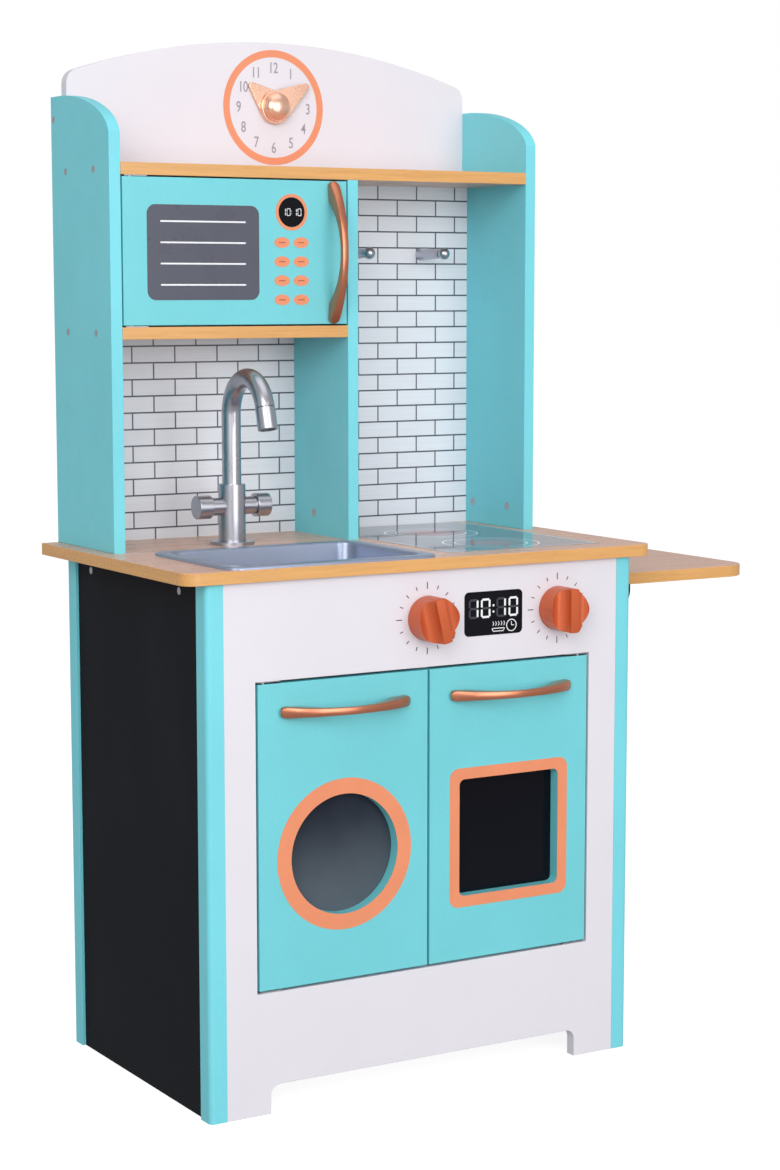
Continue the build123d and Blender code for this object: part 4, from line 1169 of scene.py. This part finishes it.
class KITCHEN_OT_sink(PieceOperator):
    """Mould the sink basin with its rolled rim, and its strainer."""

    bl_idname = "kitchen.sink"
    bl_label = "Sink basin"

    def execute(self, context):
        sizes = context.scene.kitchen_sink
        middle, half = middle_and_half(sizes.low, sizes.high)
        basin = begin_plane("sink_bowl", middle, FACING_UP)
        rounded_outline(middle, half, sizes.corner, upright=False, steps=9)
        extrude(z=sizes.rim)
        floor = WORKTOP_LEVEL + sizes.rim
        pick(basin, lambda middle, normal: normal.z > 0.9 and middle.z > WORKTOP_LEVEL + 1e-4)
        lip_flat = [(sizes.lip / MM - LIP_ROUNDS, 0.0)]
        wall = [(WALL_DRAFT, WALL_ROUNDS - sizes.deep / MM)]
        for inward, up in SINK_ROLL + lip_flat + SINK_EDGE + wall + SINK_FOOT:
            extrude(z=up * MM)
            inner = [side - inward * MM for side in half]
            resize(inner[0] / half[0], inner[1] / half[1], 1, middle)
            half = inner
            floor += up * MM
        pick(basin, lambda middle, normal: abs(middle.z - WORKTOP_LEVEL) < MERGE and abs(normal.z) > 0.9)
        bpy.ops.mesh.delete(type="FACE")
        bpy.ops.object.mode_set(mode="OBJECT")
        modify(basin, "SOLIDIFY", thickness=sizes.wall, offset=-1.0)
        smooth(50)
        fit(basin, "sink_basin", "sink_silver_plastic", ["sink_basin"])
        spot = (middle[0], middle[1], floor + 0.1 * MM)
        drain = begin_disc("sink_strainer", spot, sizes.strainer, STRAINER_SIDES, FACING_UP)
        extrude(z=sizes.strainer_tall)
        for inward, up in STRAINER_STEPS:
            bpy.ops.mesh.inset(thickness=inward * MM, depth=up * MM)
        extrude(z=sizes.strainer_tall)
        resize(0.8, 0.8, 1, spot)
        close(angle=40)
        fit(drain, "sink_basin", "satin_silver_plating")
        return {"FINISHED"}


class KITCHEN_OT_studio(PieceOperator):
    """Put up the pale floor, the soft lights and the camera."""

    bl_idname = "kitchen.studio"
    bl_label = "Studio"

    def execute(self, context):
        settings = context.scene.kitchen_studio
        scene = context.scene
        floor = begin_disc("studio_floor", (0, 0, 0), FLOOR_RADIUS, DOME_SIDES, FACING_UP)
        bpy.ops.mesh.inset(thickness=FLOOR_RADIUS * 2 / 3, depth=0)
        close()
        ground = Finish("pale_floor")
        clouds = ground.noise(1.5, detail=2, spread=SOFT)
        floor.data.materials.append(
            ground.surface(
                Base_Color=ground.mix(*FLOOR_GREYS, clouds),
                Roughness=0.9,
                Specular_IOR_Level=0.1,
                Emission_Color=WHITE,
                Emission_Strength=FLOOR_GLOW,
            )
        )
        floor.visible_diffuse = floor.visible_glossy = False

        scene.world = bpy.data.worlds.new("studio_sky")
        scene.world.use_nodes = True
        sky = Nodes(scene.world.node_tree)
        height = sky.axes(sky.wire("ShaderNodeTexCoord", output="Generated"))[2]
        stops = [(share, (level, level, level, 1)) for share, level in SKY]
        ramp = sky.wire("ShaderNodeValToRGB", {"stops": stops}, {0: height * 0.5 + 0.5})
        seen = sky.wire("ShaderNodeLightPath", output="Is Camera Ray")
        glow = sky.wire("ShaderNodeBackground", sockets={0: sky.mix(ramp, WHITE, seen)})
        sky.add("ShaderNodeOutputWorld", sockets={0: glow})

        for side, place, size in SOFTBOXES:
            bpy.ops.object.light_add(type="AREA", location=place)
            light = context.active_object
            light.name = light.data.name = f"{side}_softbox"
            light.data.shape = "SQUARE"
            light.data.size = size
            light.data.energy = getattr(settings, side)
            x, y, z = (a - b for a, b in zip(LIT_SPOT, place))
            tilt, aim = math.atan2(math.hypot(x, y), -z), math.atan2(y, x) - math.pi / 2
            light.rotation_euler = (tilt, 0, aim)
        bpy.ops.object.camera_add(location=settings.camera, rotation=settings.aim)
        camera = context.active_object
        camera.name = camera.data.name = "studio_camera"
        camera.data.lens = settings.lens
        camera.data.sensor_width = 36
        camera.data.sensor_fit = "AUTO"
        camera.data.shift_x, camera.data.shift_y = settings.shift
        camera.data.clip_end = 200
        scene.camera = camera
        scene.view_settings.view_transform = "Standard"
        return {"FINISHED"}


OPERATORS = (
    KITCHEN_OT_finishes,
    KITCHEN_OT_clock_dial,
    KITCHEN_OT_microwave_face,
    KITCHEN_OT_front_prints,
    KITCHEN_OT_hob,
    KITCHEN_OT_handles,
    KITCHEN_OT_knobs,
    KITCHEN_OT_sink,
    KITCHEN_OT_studio,
)


class KITCHEN_PT_pieces(bpy.types.Panel):
    """Lists the pieces of the toy kitchen."""

    bl_label = "Toy Kitchen"
    bl_idname = "KITCHEN_PT_pieces"
    bl_space_type = "VIEW_3D"
    bl_region_type = "UI"
    bl_category = "Toy Kitchen"

    def draw(self, context):
        for operator in OPERATORS:
            self.layout.operator(operator.bl_idname)


SETTINGS = {
    "kitchen_boards": BoardColours,
    "kitchen_tiles": TileSizes,
    "kitchen_clock": ClockSizes,
    "kitchen_prints": PrintSizes,
    "kitchen_microwave": MicrowaveSizes,
    "kitchen_front": FrontSizes,
    "kitchen_hob": HobSizes,
    "kitchen_handles": HandleSizes,
    "kitchen_knobs": KnobSizes,
    "kitchen_sink": SinkSizes,
    "kitchen_studio": StudioSettings,
}


def register():
    """Register the settings, the operators and the panel."""
    for name, group in SETTINGS.items():
        bpy.utils.register_class(group)
        setattr(bpy.types.Scene, name, bpy.props.PointerProperty(type=group))
    for operator in OPERATORS:
        bpy.utils.register_class(operator)
    bpy.utils.register_class(KITCHEN_PT_pieces)


def unregister():
    """Take away what register added."""
    bpy.utils.unregister_class(KITCHEN_PT_pieces)
    for operator in reversed(OPERATORS):
        bpy.utils.unregister_class(operator)
    for name, group in reversed(SETTINGS.items()):
        delattr(bpy.types.Scene, name)
        bpy.utils.unregister_class(group)


def main():
    register()
    bpy.ops.kitchen.finishes()
    bpy.ops.kitchen.clock_dial()
    bpy.ops.kitchen.microwave_face()
    bpy.ops.kitchen.front_prints()
    bpy.ops.kitchen.hob()
    bpy.ops.kitchen.handles()
    bpy.ops.kitchen.knobs()
    bpy.ops.kitchen.sink()
    bpy.ops.kitchen.studio()


if __name__ == "__main__":
    main()
